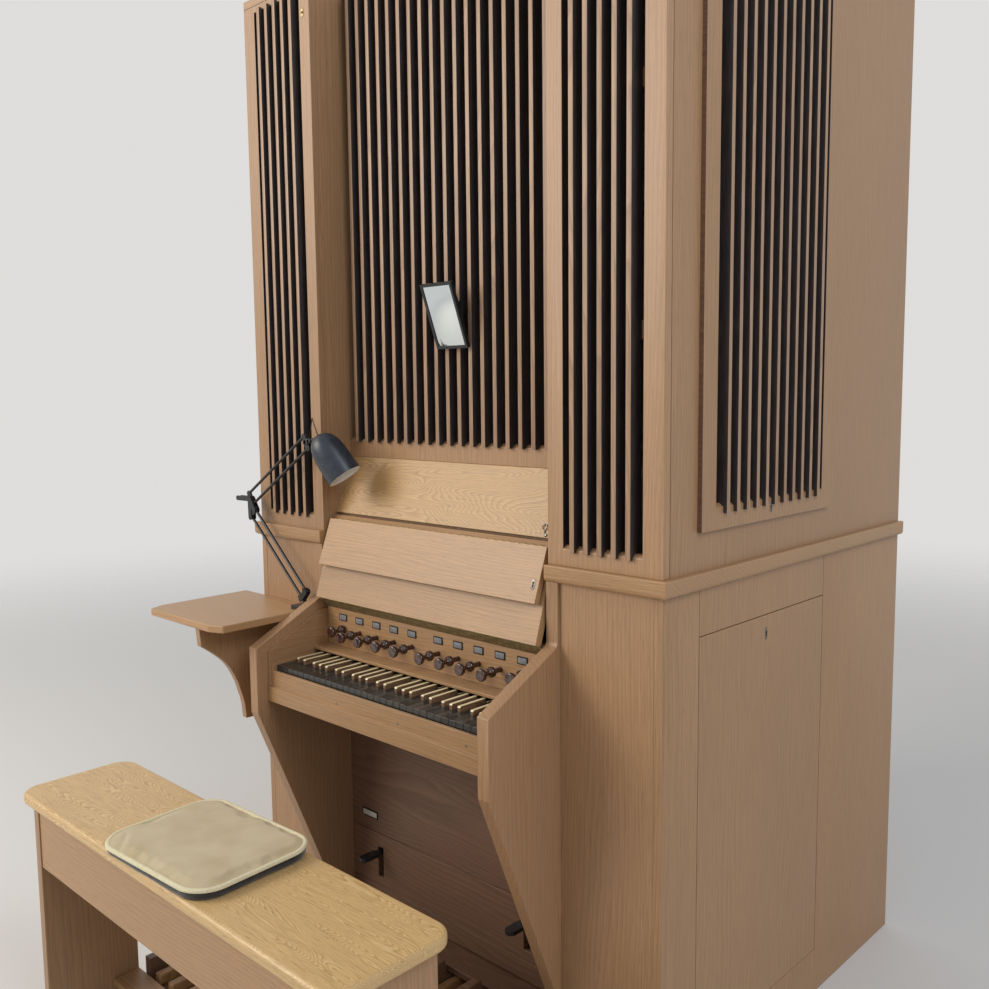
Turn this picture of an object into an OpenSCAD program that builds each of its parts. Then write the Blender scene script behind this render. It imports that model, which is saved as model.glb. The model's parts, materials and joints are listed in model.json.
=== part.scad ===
// Church organ with its console built into the front of the case, pedalboard and bench.
// Millimetres. X runs to the player's right, Y to the back, Z up. The origin is on the floor
// under the middle of the case, and the front faces -Y.

/* [Case] */
// width of the case, side to side
case_w = 1424; // [1200:1:1700]
// depth of the case, front panel to back panel
case_d = 1170; // [900:1:1400]
// height of the case
case_h = 2680; // [2300:1:2900]
// thickness of the case walls
wall = 22; // [16:1:30]
// height of the belt moulding's lower edge
belt_z = 1170; // [1100:1:1250]
// height of the belt moulding
belt_h = 37; // [25:1:60]
// how far the belt moulding stands out
belt_out = 15; // [10:1:35]

/* [Console] */
// clear width between the console cheeks
console_w = 816; // [790:1:900]
// thickness of a cheek
cheek_t = 34; // [25:1:45]
// how far the console stands out of the case
console_out = 230; // [180:1:300]
// height of the natural keys above the floor
key_z = 868; // [820:1:900]
// number of natural keys
naturals_n = 33; // [30:1:36]
// width of one natural key with its gap
key_pitch = 23.5; // [22:0.1:24.5]
// radius of a stop knob's face
knob_r = 15; // [10:0.5:18]
// radius of the ring behind a stop knob's head
knob_ring_r = 12.5; // [9:0.5:14]
// travel of a stop knob
knob_travel = 23; // [15:1:40]

/* [Lid] */
// lean of the open lid from upright, degrees
lid_lean = 17.5; // [10:0.5:30]
// thickness of the lower lid leaf
leaf_a = 20; // [15:1:25]
// thickness of the upper lid leaf
leaf_b = 16; // [12:1:22]
// length of the upper lid leaf
leaf_b_len = 129; // [90:1:140]

/* [Upper case] */
// depth of the recess between the two front bays
recess = 104; // [60:1:160]
// width of one slat
slat_w = 13; // [10:1:24]
// number of slats in each front bay
bay_slats = 5; // [3:1:8]
// number of slats in the middle
mid_slats = 19; // [13:1:25]
// spacing of the slats in the middle
mid_pitch = 40.75; // [36:0.25:42]
// how far the slats stand out of their frames
slat_out = 9; // [4:0.5:14]
// number of slats in each side grille
side_slats = 11; // [7:1:15]

/* [Pedalboard and bench] */
// spacing of the natural pedals
pedal_pitch = 64; // [58:1:68]
// number of natural pedals
pedals_n = 16; // [14:1:18]
// height of the natural pedals above the floor
pedal_z = 108; // [80:1:130]
// length of the bench seat
bench_w = 1237; // [1000:1:1400]
// depth of the bench seat
bench_d = 282; // [240:1:340]
// height of the bench seat
bench_h = 642; // [560:1:700]
// width of the bench pad
pad_w = 387; // [300:1:450]
// depth of the bench pad
pad_d = 297; // [240:1:340]
// thickness of the bench pad
pad_t = 28; // [20:1:50]
// corner radius of the bench pad
pad_round = 54; // [20:1:80]

/* [Hidden] */
$fn = 48;
hw = case_w / 2;
hd = case_d / 2;
yf = -hd;
// the console, pedals, bench, lamp and mirror are drawn with the front of the case at y0
y0 = -585;
inn = hw - wall;
uz = belt_z + belt_h;
cw = console_w / 2;
bay_x = cw;
st_in = 44;
st_out = 51.5;
op_x0 = bay_x + st_in;
op_x1 = hw - st_out;
op_z0 = 1245;
op_z1 = case_h - 40;
mid_z0 = 1452;
mid_out = slat_out + 3;
// the window behind each side grille
win_y0 = yf + 177;
win_y1 = yf + 663;
win_z0 = uz + 131;
// the sills slope up by this much over the first 10 mm
sill = 8;
frame_t = 11;
win_z1 = case_h - 180;
chest_z = uz + 83;
rec_y = yf + recess;
m0 = y0 + recess;
yc = y0 - console_out;
slope = 0.5;
sharp_z = key_z + 12;
ang_s = atan(slope);
lid_y = -603;
lid_z = 1022.5;
hinge_r = 3.2;
fold_y = -790;
fold_r = 2.7;
rot_a = 90 + ang_s + lid_lean;
fl = [fold_y, lid_z + slope * (fold_y - lid_y) - leaf_a / cos(ang_s)];
oak = [0.76, 0.58, 0.36];
oak2 = [0.66, 0.47, 0.28];
dark = [0.16, 0.14, 0.13];
bone = [0.9, 0.86, 0.72];
rose = [0.2, 0.09, 0.08];
steel = [0.7, 0.7, 0.72];

// moves what stands at the front along with the front of the case
module front() {
  translate([0, yf - y0, 0]) children();
}

// a block given by its two corners
module blk(x0, x1, y0, y1, z0, z1) {
  translate([x0, y0, z0]) cube([x1 - x0, y1 - y0, z1 - z0]);
}

// the same block on both sides of the middle
module both(x0, x1, y0, y1, z0, z1) {
  blk(x0, x1, y0, y1, z0, z1);
  blk(-x1, -x0, y0, y1, z0, z1);
}

// a profile drawn in Y and Z, drawn out along X
module prof(x0, x1, pts) {
  translate([x0, 0, 0]) rotate([90, 0, 90]) linear_extrude(x1 - x0) polygon(pts);
}

// a round bar between two points
module bar(a, b, r) {
  v = b - a;
  l = norm(v);
  translate(a) rotate([0, acos(v[2] / l), atan2(v[1], v[0])]) cylinder(h = l, r = r);
}

module lower_sides() {
  color(oak) for (s = [-1, 1]) difference() {
    blk(s < 0 ? -hw : inn, s < 0 ? -inn : hw, yf, hd, 0, belt_z);
    blk(s < 0 ? -hw - 1 : hw - 14, s < 0 ? -hw + 14 : hw + 1, yf + 134, yf + 709, 120, belt_z - 103);
    blk(s < 0 ? -hw - 1 : inn - 1, s < 0 ? -inn + 1 : hw + 1, yf + 154, yf + 689, 140, belt_z - 123);
    for (y = [yf + 134, yf + 707.5]) blk(s < 0 ? -hw - 1 : hw - 2, s < 0 ? -hw + 2 : hw + 1, y, y + 1.5, belt_z - 104, belt_z + 1);
  }
}

module access_panels() {
  color(oak) both(hw - 14, hw, yf + 136, yf + 707, 122, belt_z - 105);
}

module lower_front() {
  color(oak) both(cw + cheek_t, inn, yf, yf + wall, 150, belt_z);
}

module back_panels() {
  color(oak2) {
    blk(-inn, inn, hd - wall, hd, 0, belt_z);
    blk(-inn, inn, hd - wall, hd, uz, case_h - wall);
  }
}

module base_frame() {
  color(oak2) {
    blk(-inn, inn, yf + 115, hd - wall, 60, 80);
    both(inn - 60, inn, yf + 115, hd - wall, 0, 60);
    blk(-inn, inn, hd - wall - 60, hd - wall, 0, 60);
    blk(-30, 30, yf + 115, hd - wall - 60, 0, 60);
  }
}

// profile of the belt moulding: x is outwards, y is up
belt_pts = [[0, 0], [belt_out - 6, 0], [belt_out - 2.5, 2.5], [belt_out - 0.7, 6], [belt_out, 10],
  [belt_out, belt_h - 1.5], [belt_out - 1.5, belt_h], [0, belt_h]];

module belt_front(x, l) {
  translate([x, 0, 0]) rotate([90, 0, 90]) linear_extrude(l)
    polygon([for (p = belt_pts) [yf - p[0], belt_z + p[1]]]);
}

module belt_side(s, y, l) {
  translate([0, y, belt_z]) rotate([90, 0, 0]) linear_extrude(l)
    polygon([for (p = belt_pts) [s * (hw + p[0]), p[1]]]);
}

module belt_moulding() {
  color(oak) {
    for (s = [-1, 1]) {
      blk(s < 0 ? -hw : inn, s < 0 ? -inn : hw, yf, hd, belt_z, uz);
      blk(s < 0 ? -inn : cw, s < 0 ? -cw : inn, yf, yf + wall, belt_z, uz);
      belt_front(s < 0 ? -hw : cw, hw - cw);
      belt_side(s, hd, case_d);
      intersection() {
        belt_front(s < 0 ? -hw - 2 * belt_out : hw, 2 * belt_out);
        belt_side(s, yf, 2 * belt_out);
      }
    }
    blk(-inn, inn, hd - wall, hd, belt_z, uz);
  }
}

// the inner corner of the cheeks is rounded
corner_r = 16;
corner_a = atan(slope);
corner_z = 917 + slope * (console_out - 8);
corner_d = corner_r * tan((90 - corner_a) / 2);
cheek_pts = [[yc, 740], [yc, 917],
  for (k = [0 : 6]) let (a = -90 + corner_a + k * (90 - corner_a) / 6)
    [y0 - 8 - corner_r + corner_r * cos(a), corner_z + corner_d + corner_r * sin(a)],
  [y0 - 8, belt_z],
  [-500, belt_z], [-500, 150], [-577, 150]];

module cheeks() {
  front() {
    color(oak) {
      prof(cw, cw + cheek_t, cheek_pts);
      prof(-cw - cheek_t, -cw, cheek_pts);
    }
  }
}

liner_pts = [[-781, 811], [-781, 904.5], [-608, 991], [y0, 991], [y0, 811]];

module cheek_liners() {
  front() {
    color(oak) for (s = [-1, 1]) {
      prof(s < 0 ? -cw : cw - 8, s < 0 ? -cw + 8 : cw, liner_pts);
      blk(s < 0 ? -cw + 8 : cw - 19, s < 0 ? -cw + 19 : cw - 8, -777, -640, 811, 872);
    }
  }
}

module key_bed() {
  front() {
    color(oak2) {
      blk(-cw, cw, -762, -500, 771, 793);
      blk(-cw + 20, cw - 20, -758, -730, 793, key_z - 22);
      blk(-cw + 20, cw - 20, -620, -592, 793, key_z - 22);
    }
  }
}

module key_rails() {
  front() {
    color(oak) {
      blk(-cw, cw, -784, -762, 771, 811);
      blk(-cw + 19, cw - 19, -777, -768, 811, 854);
      blk(-cw + 8, cw - 8, -635, y0, sharp_z + 4, 892);
    }
  }
}

kx0 = -naturals_n * key_pitch / 2;
// left and right edge of each natural's tail inside one octave
tails = [[0, 14.6], [28, 42.5], [55.9, 70.5], [70.5, 84], [97.4, 110.8], [124.2, 137.6], [151, 164.5]];
sharp_at = [21.3, 49.2, 90.7, 117.5, 144.3];

module naturals() {
  front() {
    color(dark) for (i = [0 : naturals_n - 1]) {
      o = floor(i / 7);
      k = i - 7 * o;
      tx = kx0 + o * 7 * key_pitch;
      last = (i == naturals_n - 1);
      translate([0, 0, key_z - 22]) linear_extrude(22) polygon([
        [kx0 + i * key_pitch + 0.5, -765], [kx0 + (i + 1) * key_pitch - 0.5, -765],
        [kx0 + (i + 1) * key_pitch - 0.5, -716],
        [tx + (last ? (k + 1) * key_pitch - 0.5 : tails[k][1] - 0.5), -716],
        [tx + (last ? (k + 1) * key_pitch - 0.5 : tails[k][1] - 0.5), -590],
        [tx + tails[k][0] + 0.5, -590],
        [tx + tails[k][0] + 0.5, -716], [kx0 + i * key_pitch + 0.5, -716]]);
    }
  }
}

module sharps() {
  front() {
    color(bone) for (o = [0 : 4], j = [0 : 4]) {
      x = kx0 + o * 7 * key_pitch + sharp_at[j];
      if (x < kx0 + (naturals_n - 1) * key_pitch) prof(x - 5, x + 5,
        [[-713, key_z - 22], [-713, sharp_z - 3], [-711, sharp_z], [-628, sharp_z], [-628, key_z], [-590, key_z], [-590, key_z - 22]]);
    }
  }
}

stop_x = [-330.5, -260, -189.5, -119, -48.5, 48.5, 119, 189.5, 260, 330.5];
stop_z = 940;
// the slanted face that carries the lid's hinge, and its lower edge
well_h = 30;
well_z = lid_z + 3 * sin(ang_s) - well_h * cos(ang_s);
shank_r = 6.5;

module stop_jamb() {
  front() {
    color(oak) difference() {
      blk(-cw + 8, cw - 8, y0, y0 + 18, 892, well_z);
      for (x = stop_x) translate([x, y0 - 1, stop_z]) rotate([-90, 0, 0]) cylinder(h = 20, r = shank_r + 0.3);
    }
  }
}

module stop_labels() {
  front() {
    color([0.45, 0.46, 0.48]) for (x = stop_x) blk(x - 16, x + 16, y0 - 2, y0, 964, 983);
  }
}

module lid_well() {
  front() {
    u = [cos(ang_s), sin(ang_s)];
    color(oak2) prof(-cw, cw, [
      [lid_y + 3 * u[0], lid_z + 3 * u[1]],
      [lid_y + 3 * u[0] + well_h * u[1], well_z],
      [-505, well_z], [-505, 1255], [-536, 1255], [-536, 1247], [-523, 1247], [-523, lid_z + 3 * u[1]]]);
    color(steel) translate([-402, lid_y, lid_z]) rotate([0, 90, 0]) cylinder(h = 804, r = hinge_r);
  }
}

lever_x = [-285, 270];
lever_z = 291;

module kneeboards() {
  front() {
    color(oak2) {
      blk(-cw, cw, -511, -493, 345, 771);
      difference() {
        blk(-cw, cw, -511, -493, 188, 343);
        for (x = lever_x) blk(x - 11, x + 11, -520, -480, 215, 304);
      }
      blk(-cw, cw, -511, -493, 136, 187);
    }
  }
}

// the rail inside the case that carries the two foot levers
module lever_rail() {
  front() {
    color(oak2) difference() {
      union() {
        blk(-cw, cw, -345, -300, 200, 255);
        both(cw - 38, cw - 8, -345, -300, 80, 200);
        for (x = lever_x, s = [-1, 1]) blk(x + s * 24 - 4, x + s * 24 + 4, -338, -306, 250, 306);
      }
      for (x = lever_x) translate([x - 30, -322, lever_z]) rotate([0, 90, 0]) cylinder(h = 60, r = 5.05);
    }
  }
}

module upper_sides() {
  color(oak) for (s = [-1, 1]) difference() {
    blk(s < 0 ? -hw : inn, s < 0 ? -inn : hw, yf + wall, hd, uz, case_h - wall);
    blk(s < 0 ? -hw - 1 : inn - 1, s < 0 ? -inn + 1 : hw + 1, win_y0, win_y1, win_z0 + sill, win_z1);
    blk(s < 0 ? -hw - 1 : hw - 2, s < 0 ? -hw + 2 : hw + 1, yf + wall - 1, yf + wall + 1.5, uz - 1, case_h);
  }
}

// a profile drawn outwards from a side wall and upwards, drawn out along Y on side s
module side_prof(s, y0, y1, pts) {
  translate([0, y1, 0]) rotate([90, 0, 0]) linear_extrude(y1 - y0) polygon([for (p = pts) [s * (hw + p[0]), p[1]]]);
}

module side_grille_frames() {
  color(oak) for (s = [-1, 1]) difference() {
    blk(s < 0 ? -hw - frame_t : hw, s < 0 ? -hw : hw + frame_t, yf + 122, yf + 714, uz + 84, case_h - 120);
    side_prof(s, win_y0, win_y1, [[frame_t + 1, win_z0], [frame_t, win_z0], [frame_t - 10, win_z0 + sill], [-1, win_z0 + sill],
      [-1, win_z1], [frame_t + 1, win_z1]]);
  }
}

module side_grille_slats() {
  g = (win_y1 - win_y0 - side_slats * slat_w) / (side_slats + 1);
  f = frame_t + slat_out;
  color(oak) for (s = [-1, 1], i = [0 : side_slats - 1])
    side_prof(s, win_y0 + g + i * (g + slat_w), win_y0 + g + i * (g + slat_w) + slat_w, [[f, win_z0 - 13],
      [frame_t, win_z0 - 13], [frame_t, win_z0], [frame_t - 10, win_z0 + sill], [-10, win_z0 + sill], [-10, win_z1],
      [frame_t, win_z1], [frame_t, win_z1 + 13], [f, win_z1 + 13]]);
}

module front_frames() {
  color(oak) {
    for (s = [-1, 1]) difference() {
      blk(s < 0 ? -hw : bay_x, s < 0 ? -bay_x : hw, yf, yf + wall, uz, case_h - wall);
      prof(s < 0 ? -op_x1 : op_x0, s < 0 ? -op_x0 : op_x1, [[yf - 1, op_z0], [yf, op_z0], [yf + 10, op_z0 + sill],
        [yf + wall + 1, op_z0 + sill], [yf + wall + 1, op_z1], [yf - 1, op_z1]]);
    }
    prof(-cw, cw, [[rec_y, 1407], [rec_y + wall, 1407], [rec_y + wall, mid_z0 + sill], [rec_y + 10, mid_z0 + sill], [rec_y, mid_z0]]);
    blk(-cw, cw, rec_y, rec_y + wall, op_z1, case_h - wall);
  }
}

// a slat from x, its frame's face at y, standing out by f and lapping over the rails by lap
module slat(x, y, z0, f, lap) {
  prof(x, x + slat_w, [[y - f, z0 - lap], [y, z0 - lap], [y, z0], [y + 10, z0 + sill], [y + 28, z0 + sill], [y + 28, op_z1],
    [y, op_z1], [y, op_z1 + lap], [y - f, op_z1 + lap]]);
}

module front_slats() {
  g = (op_x1 - op_x0 - bay_slats * slat_w) / (bay_slats + 1);
  color(oak) {
    for (i = [0 : bay_slats - 1], s = [-1, 1])
      slat(s * (op_x0 + g + i * (g + slat_w) + slat_w / 2) - slat_w / 2, yf, op_z0, slat_out, 5);
    for (i = [0 : mid_slats - 1])
      slat((i - (mid_slats - 1) / 2) * mid_pitch - slat_w / 2, rec_y, mid_z0, mid_out, 2);
  }
}

module desk_panel() {
  front() {
    color(oak) prof(-cw, cw, [[m0, 1407], [-541, 1255], [-522, 1255], [m0 + 19, 1407]]);
  }
}

module recess_returns() {
  color(oak) both(cw, cw + wall, yf + wall, rec_y + wall, uz, case_h - wall);
}

module roof() {
  color(oak2) difference() {
    blk(-hw, hw, yf, hd, case_h - wall, case_h);
    blk(-cw, cw, yf - 1, rec_y, case_h - wall - 1, case_h + 1);
  }
}

module windchest() {
  color(oak2) difference() {
    blk(-inn, inn, yf + 155, hd - 65, chest_z - 140, chest_z);
    blk(-inn + 24, inn - 24, yf + 179, hd - 89, chest_z - 141, chest_z - 28);
  }
}

module pipes() {
  color(steel) for (row = [0, 1], i = [0 : 24]) {
    x = (i - 12) * 50 + (row == 0 ? 0 : 25) * (i < 24 ? 1 : 0);
    r = 13 + 9 * abs(i - 12) / 12;
    h = 520 + 620 * pow(abs(i - 12) / 12, 1.4) - 60 * row;
    if (row == 0 || i < 24) translate([x, yf + 200 + 95 * row, chest_z]) {
      cylinder(h = 150, r1 = 6, r2 = r);
      translate([0, 0, 150]) difference() {
        cylinder(h = h, r = r);
        translate([0, 0, 5]) cylinder(h = h, r = r - 2);
      }
    }
  }
}

module slat_carriers() {
  color(oak2) {
    for (z = [uz + 483, case_h - 498]) {
      both(bay_x + wall, inn, yf + 28, yf + 48, z, z + 38);
      blk(-cw, cw, rec_y + 28, rec_y + 48, z, z + 38);
      both(inn - 8, hw - 10, win_y0, win_y1, z, z + 38);
    }
  }
}

module shelf() {
  front() {
    color(oak) translate([0, 0, 966]) linear_extrude(20) polygon([
      [-cw - cheek_t, y0], [-cw - cheek_t, -890], [-487, -908], [-790, -908], [-810, -865], [-810, y0]]);
  }
}

module shelf_bracket() {
  front() {
    color(oak) prof(-556, -536, [[y0, 966], [-905, 966], [-901, 918], [-882, 905], [-864, 891], [-846, 876], [-829, 859],
      [-815, 840], [-803, 817], [-793, 795], [-786, 771], [-779, 750], [-775, 731], [-771, 690], [y0, 690]]);
  }
}

bench_y = -1219;
// how far the seat stands out beyond the ends, and the seat's thickness
bench_over = 28;
seat_t = 28;
ex = bench_w / 2 - bench_over;
ey = bench_d / 2 - 25;

module bench_top() {
  front() {
    color(oak) translate([0, bench_y, bench_h - seat_t]) linear_extrude(seat_t)
      offset(r = 48) square([bench_w - 96, bench_d - 96], center = true);
  }
}

module bench_ends() {
  front() {
    color(oak) both(ex - 25, ex, bench_y - ey, bench_y + ey, 0, bench_h - seat_t);
  }
}

module bench_rails() {
  front() {
    color(oak) {
      for (s = [-1, 1]) blk(25 - ex, ex - 25, bench_y + s * (ey - 14) - 11, bench_y + s * (ey - 14) + 11, 452, bench_h - seat_t);
      blk(25 - ex, ex - 25, bench_y + ey - 70, bench_y + ey, 75, 95);
    }
  }
}

module bench_pad() {
  front() {
    color([0.78, 0.72, 0.58]) translate([14, bench_y - 3, bench_h]) rotate(2.4) linear_extrude(pad_t)
      offset(r = pad_round) square([pad_w - 2 * pad_round, pad_d - 2 * pad_round], center = true);
  }
}

pw = pedals_n * pedal_pitch / 2;

module pedal_frame() {
  front() {
    color(oak2) {
      both(pw + 6, pw + 31, -1096, -485, 0, 132);
      blk(-pw - 6, pw + 6, -1096, -1080, 0, pedal_z - 30);
      blk(-pw - 6, pw + 6, -590, -485, 114, 132);
      blk(-pw - 6, pw + 6, -503, -485, 0, 114);
      blk(-pw - 6, pw + 6, -1080, -503, 0, 20);
      blk(-pw - 6, pw + 6, -1080, -1060, 20, pedal_z - 30);
      blk(-pw - 6, pw + 6, -560, -530, 20, pedal_z - 30);
    }
  }
}

module pedal_naturals() {
  front() {
    color(oak) for (i = [0 : pedals_n - 1])
      blk(-pw + (i + 0.5) * pedal_pitch - 12, -pw + (i + 0.5) * pedal_pitch + 12, -1096, -508, pedal_z - 30, pedal_z);
  }
}

pedal_sharp_at = [1, 2, 4, 5, 6];

module pedal_sharps() {
  front() {
    color(oak2) for (o = [0 : 2], j = pedal_sharp_at)
      if (o * 7 + j < pedals_n) prof(-pw + (o * 7 + j) * pedal_pitch - 12, -pw + (o * 7 + j) * pedal_pitch + 12,
        [[-745, pedal_z - 30], [-745, pedal_z + 34], [-737, pedal_z + 44], [-606, pedal_z + 47], [-602, pedal_z + 42], [-602, pedal_z], [-508, pedal_z], [-508, pedal_z - 30]]);
  }
}

mir_p = [36, -520, 1789];
mir_c = [36, -532, 1771];

module mirror_arm() {
  front() {
    color(dark) difference() {
      union() {
        blk(-3, 52, m0 - mid_out - 6, m0 - mid_out, 1770, 1808);
        blk(31, 41, -516, m0 - mid_out - 3, 1784, 1794);
        translate([31, mir_p[1], mir_p[2]]) rotate([0, 90, 0]) cylinder(h = 10, r = 7);
      }
      translate([22, mir_p[1], mir_p[2]]) rotate([0, 90, 0]) cylinder(h = 28, r = 3.05);
    }
  }
}

module mirror() {
  front() {
    translate(mir_c) rotate([20, 0, 0]) {
      color(dark) difference() {
        blk(-54, 54, -6, 4, -82, 82);
        blk(-47, 47, -7, -3, -75, 75);
      }
      color([0.75, 0.8, 0.83]) blk(-47, 47, -4.5, -3, -75, 75);
      color(dark) for (s = [-1, 1]) blk(s * 9 - 2.5, s * 9 + 2.5, 3, 14, 13, 27);
    }
    color(dark) {
      for (s = [-1, 1]) translate([mir_p[0] + s * 9 - 2.5, mir_p[1], mir_p[2]]) rotate([0, 90, 0]) cylinder(h = 5, r = 7);
      translate([mir_p[0] - 11.5, mir_p[1], mir_p[2]]) rotate([0, 90, 0]) cylinder(h = 23, r = 3);
    }
  }
}

// the reading lamp stands in one plane; its pivots are given in X and Z
lamp_y = -622;
la = [-456, 1024];
lb = [-706, 1278];
lc = [-426, 1452];
shade_top = [-372, 1471];
arm_r = 4;
pin_r = 3;
gap = 0.05;

// a disc across the lamp's plane, centred on p
module disc(p, y0, y1, r) {
  translate([p[0], lamp_y + y0, p[1]]) rotate([-90, 0, 0]) cylinder(h = y1 - y0, r = r);
}

// a flat plate with round ends across the lamp's plane
module plate(p, q, y0, y1, r) {
  v = (q - p) / norm(q - p);
  n = [-v[1], v[0]] * r;
  disc(p, y0, y1, r);
  disc(q, y0, y1, r);
  translate([0, lamp_y + y1, 0]) rotate([90, 0, 0]) linear_extrude(y1 - y0)
    polygon([p + n, q + n, q - n, p - n]);
}

// a round rod in the lamp's plane
module rod(p, q, r) {
  bar([p[0], lamp_y, p[1]], [q[0], lamp_y, q[1]], r);
}

module lamp_foot() {
  front() color(dark) difference() {
    blk(la[0] - 26, la[0] + 13, lamp_y - 28, lamp_y + 16, 986, 998);
    translate([la[0], lamp_y, 989]) cylinder(h = 12, r = 5 + gap);
  }
}

module lamp_post() {
  front() color(dark) difference() {
    union() {
      translate([la[0], lamp_y, 989]) cylinder(h = 12, r = 5);
      translate([la[0], lamp_y, 998.3]) cylinder(h = 2.7, r = 9);
      blk(la[0] - 4, la[0] + 4, lamp_y - 4, lamp_y + 4, 1000, la[1]);
      disc(la, -4, 4, 9);
    }
    disc(la, -5, 5, pin_r + gap);
  }
}

v1 = [-0.748, 0.664];
n1 = [-0.664, -0.748] * 15;

module lamp_lower_arm() {
  front() color(dark) {
    for (s = [-1, 1]) {
      rod(la + v1 * 6 + n1 * s, la + v1 * 325 + n1 * s, arm_r);
      for (y = [-8, 5]) plate(la + v1 * 318 + n1 * s, lb, y, y + 3, 8);
    }
    for (y = [-8, 5]) {
      plate(la - n1, la + n1, y, y + 3, 8);
      plate(lb, [-768, 1277], y, y + 3, 7);
    }
    for (s = [-1, 1]) {
      disc(la + v1 * 9 + n1 * s, -8, 8, 4);
      disc(la + v1 * 318 + n1 * s, -8, 8, 4);
    }
    disc([-768, 1277], -8, 8, 4);
    for (p = [la, lb]) disc(p, -8, 8, pin_r);
  }
}

v2 = [0.849, 0.528];
n2 = [-0.528, 0.849] * 18;

module lamp_upper_arm() {
  front() color(dark) difference() {
    union() {
      for (s = [-1, 1]) rod(lb + n2 * s, lc + n2 * s, arm_r);
      for (p = [lb, lc]) plate(p - n2, p + n2, -3, 3, 8);
    }
    for (p = [lb, lc]) disc(p, -5, 5, pin_r + gap);
  }
}

module lamp_head() {
  front() color(dark) {
    for (y = [-7, 4]) plate(lc, lc + [20, 5], y, y + 3, 7);
    disc(lc + [20, 5], -7, 7, 7);
    disc(lc, -7, 7, pin_r);
    rod(lc + [20, 5], shade_top + [6, -5], 5);
    rod(lc + [14, 6], [-396, 1518], 1.5);
    rod([-396, 1518], shade_top + [2, -4], 1.5);
    disc([-396, 1518], -1.6, 1.6, 2.4);
    translate([shade_top[0], lamp_y, shade_top[1]]) rotate([0, 144.5, 26.7]) {
      rotate_extrude() polygon([[0, 0], [12, 0], [18, 2.5], [24, 6.6], [29.5, 12], [34.5, 18.6], [39.4, 28], [43, 40], [45.3, 56],
        [46.5, 73], [47.5, 100], [48, 132], [46.4, 132], [45.9, 100], [44.9, 73], [43.7, 56], [41.4, 40], [37.9, 29],
        [33.2, 20], [28.4, 13.6], [23.2, 8.4], [17.5, 4.3], [11.5, 2], [0, 2]]);
      translate([0, 0, 1]) cylinder(h = 45, r = 14);
      translate([0, 0, 66]) sphere(r = 24);
    }
  }
}

// the lid is drawn closed, then turned back to the open rest pose
module open_a() {
  translate([0, lid_y, lid_z]) rotate([-rot_a, 0, 0]) translate([0, -lid_y, -lid_z]) children();
}

module lid_lower_leaf() {
  front() {
    u = [cos(ang_s), sin(ang_s)];
    zt = lid_z + slope * (fold_y - 16 - lid_y);
    color(oak) open_a() difference() {
      union() {
        translate([-394, fl[0], fl[1]]) rotate([0, 90, 0]) cylinder(h = 788, r = fold_r);
        prof(-402, 402, [[lid_y, lid_z], [lid_y + leaf_a * u[1], lid_z - leaf_a * u[0]],
          fl, [fold_y - 16, fl[1]], [fold_y - 16, zt]]);
      }
      translate([-403, lid_y, lid_z]) rotate([0, 90, 0]) cylinder(h = 806, r = hinge_r + 0.3);
    }
  }
}

module lid_upper_leaf() {
  front() {
    color(oak) open_a() translate([0, fl[0], fl[1]]) rotate([90 + ang_s - 2.5, 0, 0]) translate([0, -fl[0], -fl[1]])
      difference() {
        blk(-394, 394, fold_y - leaf_b, fold_y, fl[1] - 2 - leaf_b_len, fl[1] - 2);
        translate([-396, fl[0], fl[1]]) rotate([0, 90, 0]) cylinder(h = 792, r = fold_r + 0.3);
      }
  }
}

module foot_lever(x) {
  front() {
    color(dark) {
      hull() {
        translate([x, -568, lever_z - 5]) cylinder(h = 10, r = 15);
        translate([x, -532, lever_z - 5]) cylinder(h = 10, r = 15);
      }
      blk(x - 5, x + 5, -540, -322, lever_z - 6, lever_z + 6);
      translate([x - 17, -322, lever_z]) rotate([0, 90, 0]) cylinder(h = 34, r = 10);
      translate([x - 30, -322, lever_z]) rotate([0, 90, 0]) cylinder(h = 60, r = 5);
    }
  }
}

module foot_lever_left() foot_lever(lever_x[0]);
module foot_lever_right() foot_lever(lever_x[1]);

// one stop knob, its face at y = 0 and its shank running back
module knob(i) {
  front() {
    out = (i == 0 || i == 9) ? 0 : knob_travel;
    translate([stop_x[i], y0 - 47 - out, stop_z]) rotate([-90, 0, 0]) color(rose) rotate_extrude()
      polygon([[0, 0], [knob_r - 4, 0], [knob_r - 1, 1.5], [knob_r, 4], [knob_r, 8], [knob_r - 1.5, 11], [knob_r - 5, 14],
        [6.5, 18], [6, 24], [6.5, 30], [knob_ring_r - 3, 35], [knob_ring_r, 38.5], [knob_ring_r, 42], [knob_ring_r - 2, 45],
        [shank_r, 46], [shank_r, 134], [0, 134]]);
  }
}

module stop_knob_1() knob(0);
module stop_knob_2() knob(1);
module stop_knob_3() knob(2);
module stop_knob_4() knob(3);
module stop_knob_5() knob(4);
module stop_knob_6() knob(5);
module stop_knob_7() knob(6);
module stop_knob_8() knob(7);
module stop_knob_9() knob(8);
module stop_knob_10() knob(9);

lower_sides();
access_panels();
lower_front();
back_panels();
base_frame();
belt_moulding();
cheeks();
cheek_liners();
key_bed();
key_rails();
naturals();
sharps();
stop_jamb();
stop_labels();
lid_well();
kneeboards();
lever_rail();
upper_sides();
side_grille_frames();
side_grille_slats();
front_frames();
front_slats();
desk_panel();
recess_returns();
roof();
windchest();
pipes();
slat_carriers();
shelf();
shelf_bracket();
bench_top();
bench_ends();
bench_rails();
bench_pad();
pedal_frame();
pedal_naturals();
pedal_sharps();
mirror_arm();
lamp_foot();
lamp_post();
lid_lower_leaf();
lid_upper_leaf();
foot_lever_left();
foot_lever_right();
mirror();
lamp_lower_arm();
lamp_upper_arm();
lamp_head();
stop_knob_1();
stop_knob_2();
stop_knob_3();
stop_knob_4();
stop_knob_5();
stop_knob_6();
stop_knob_7();
stop_knob_8();
stop_knob_9();
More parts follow.
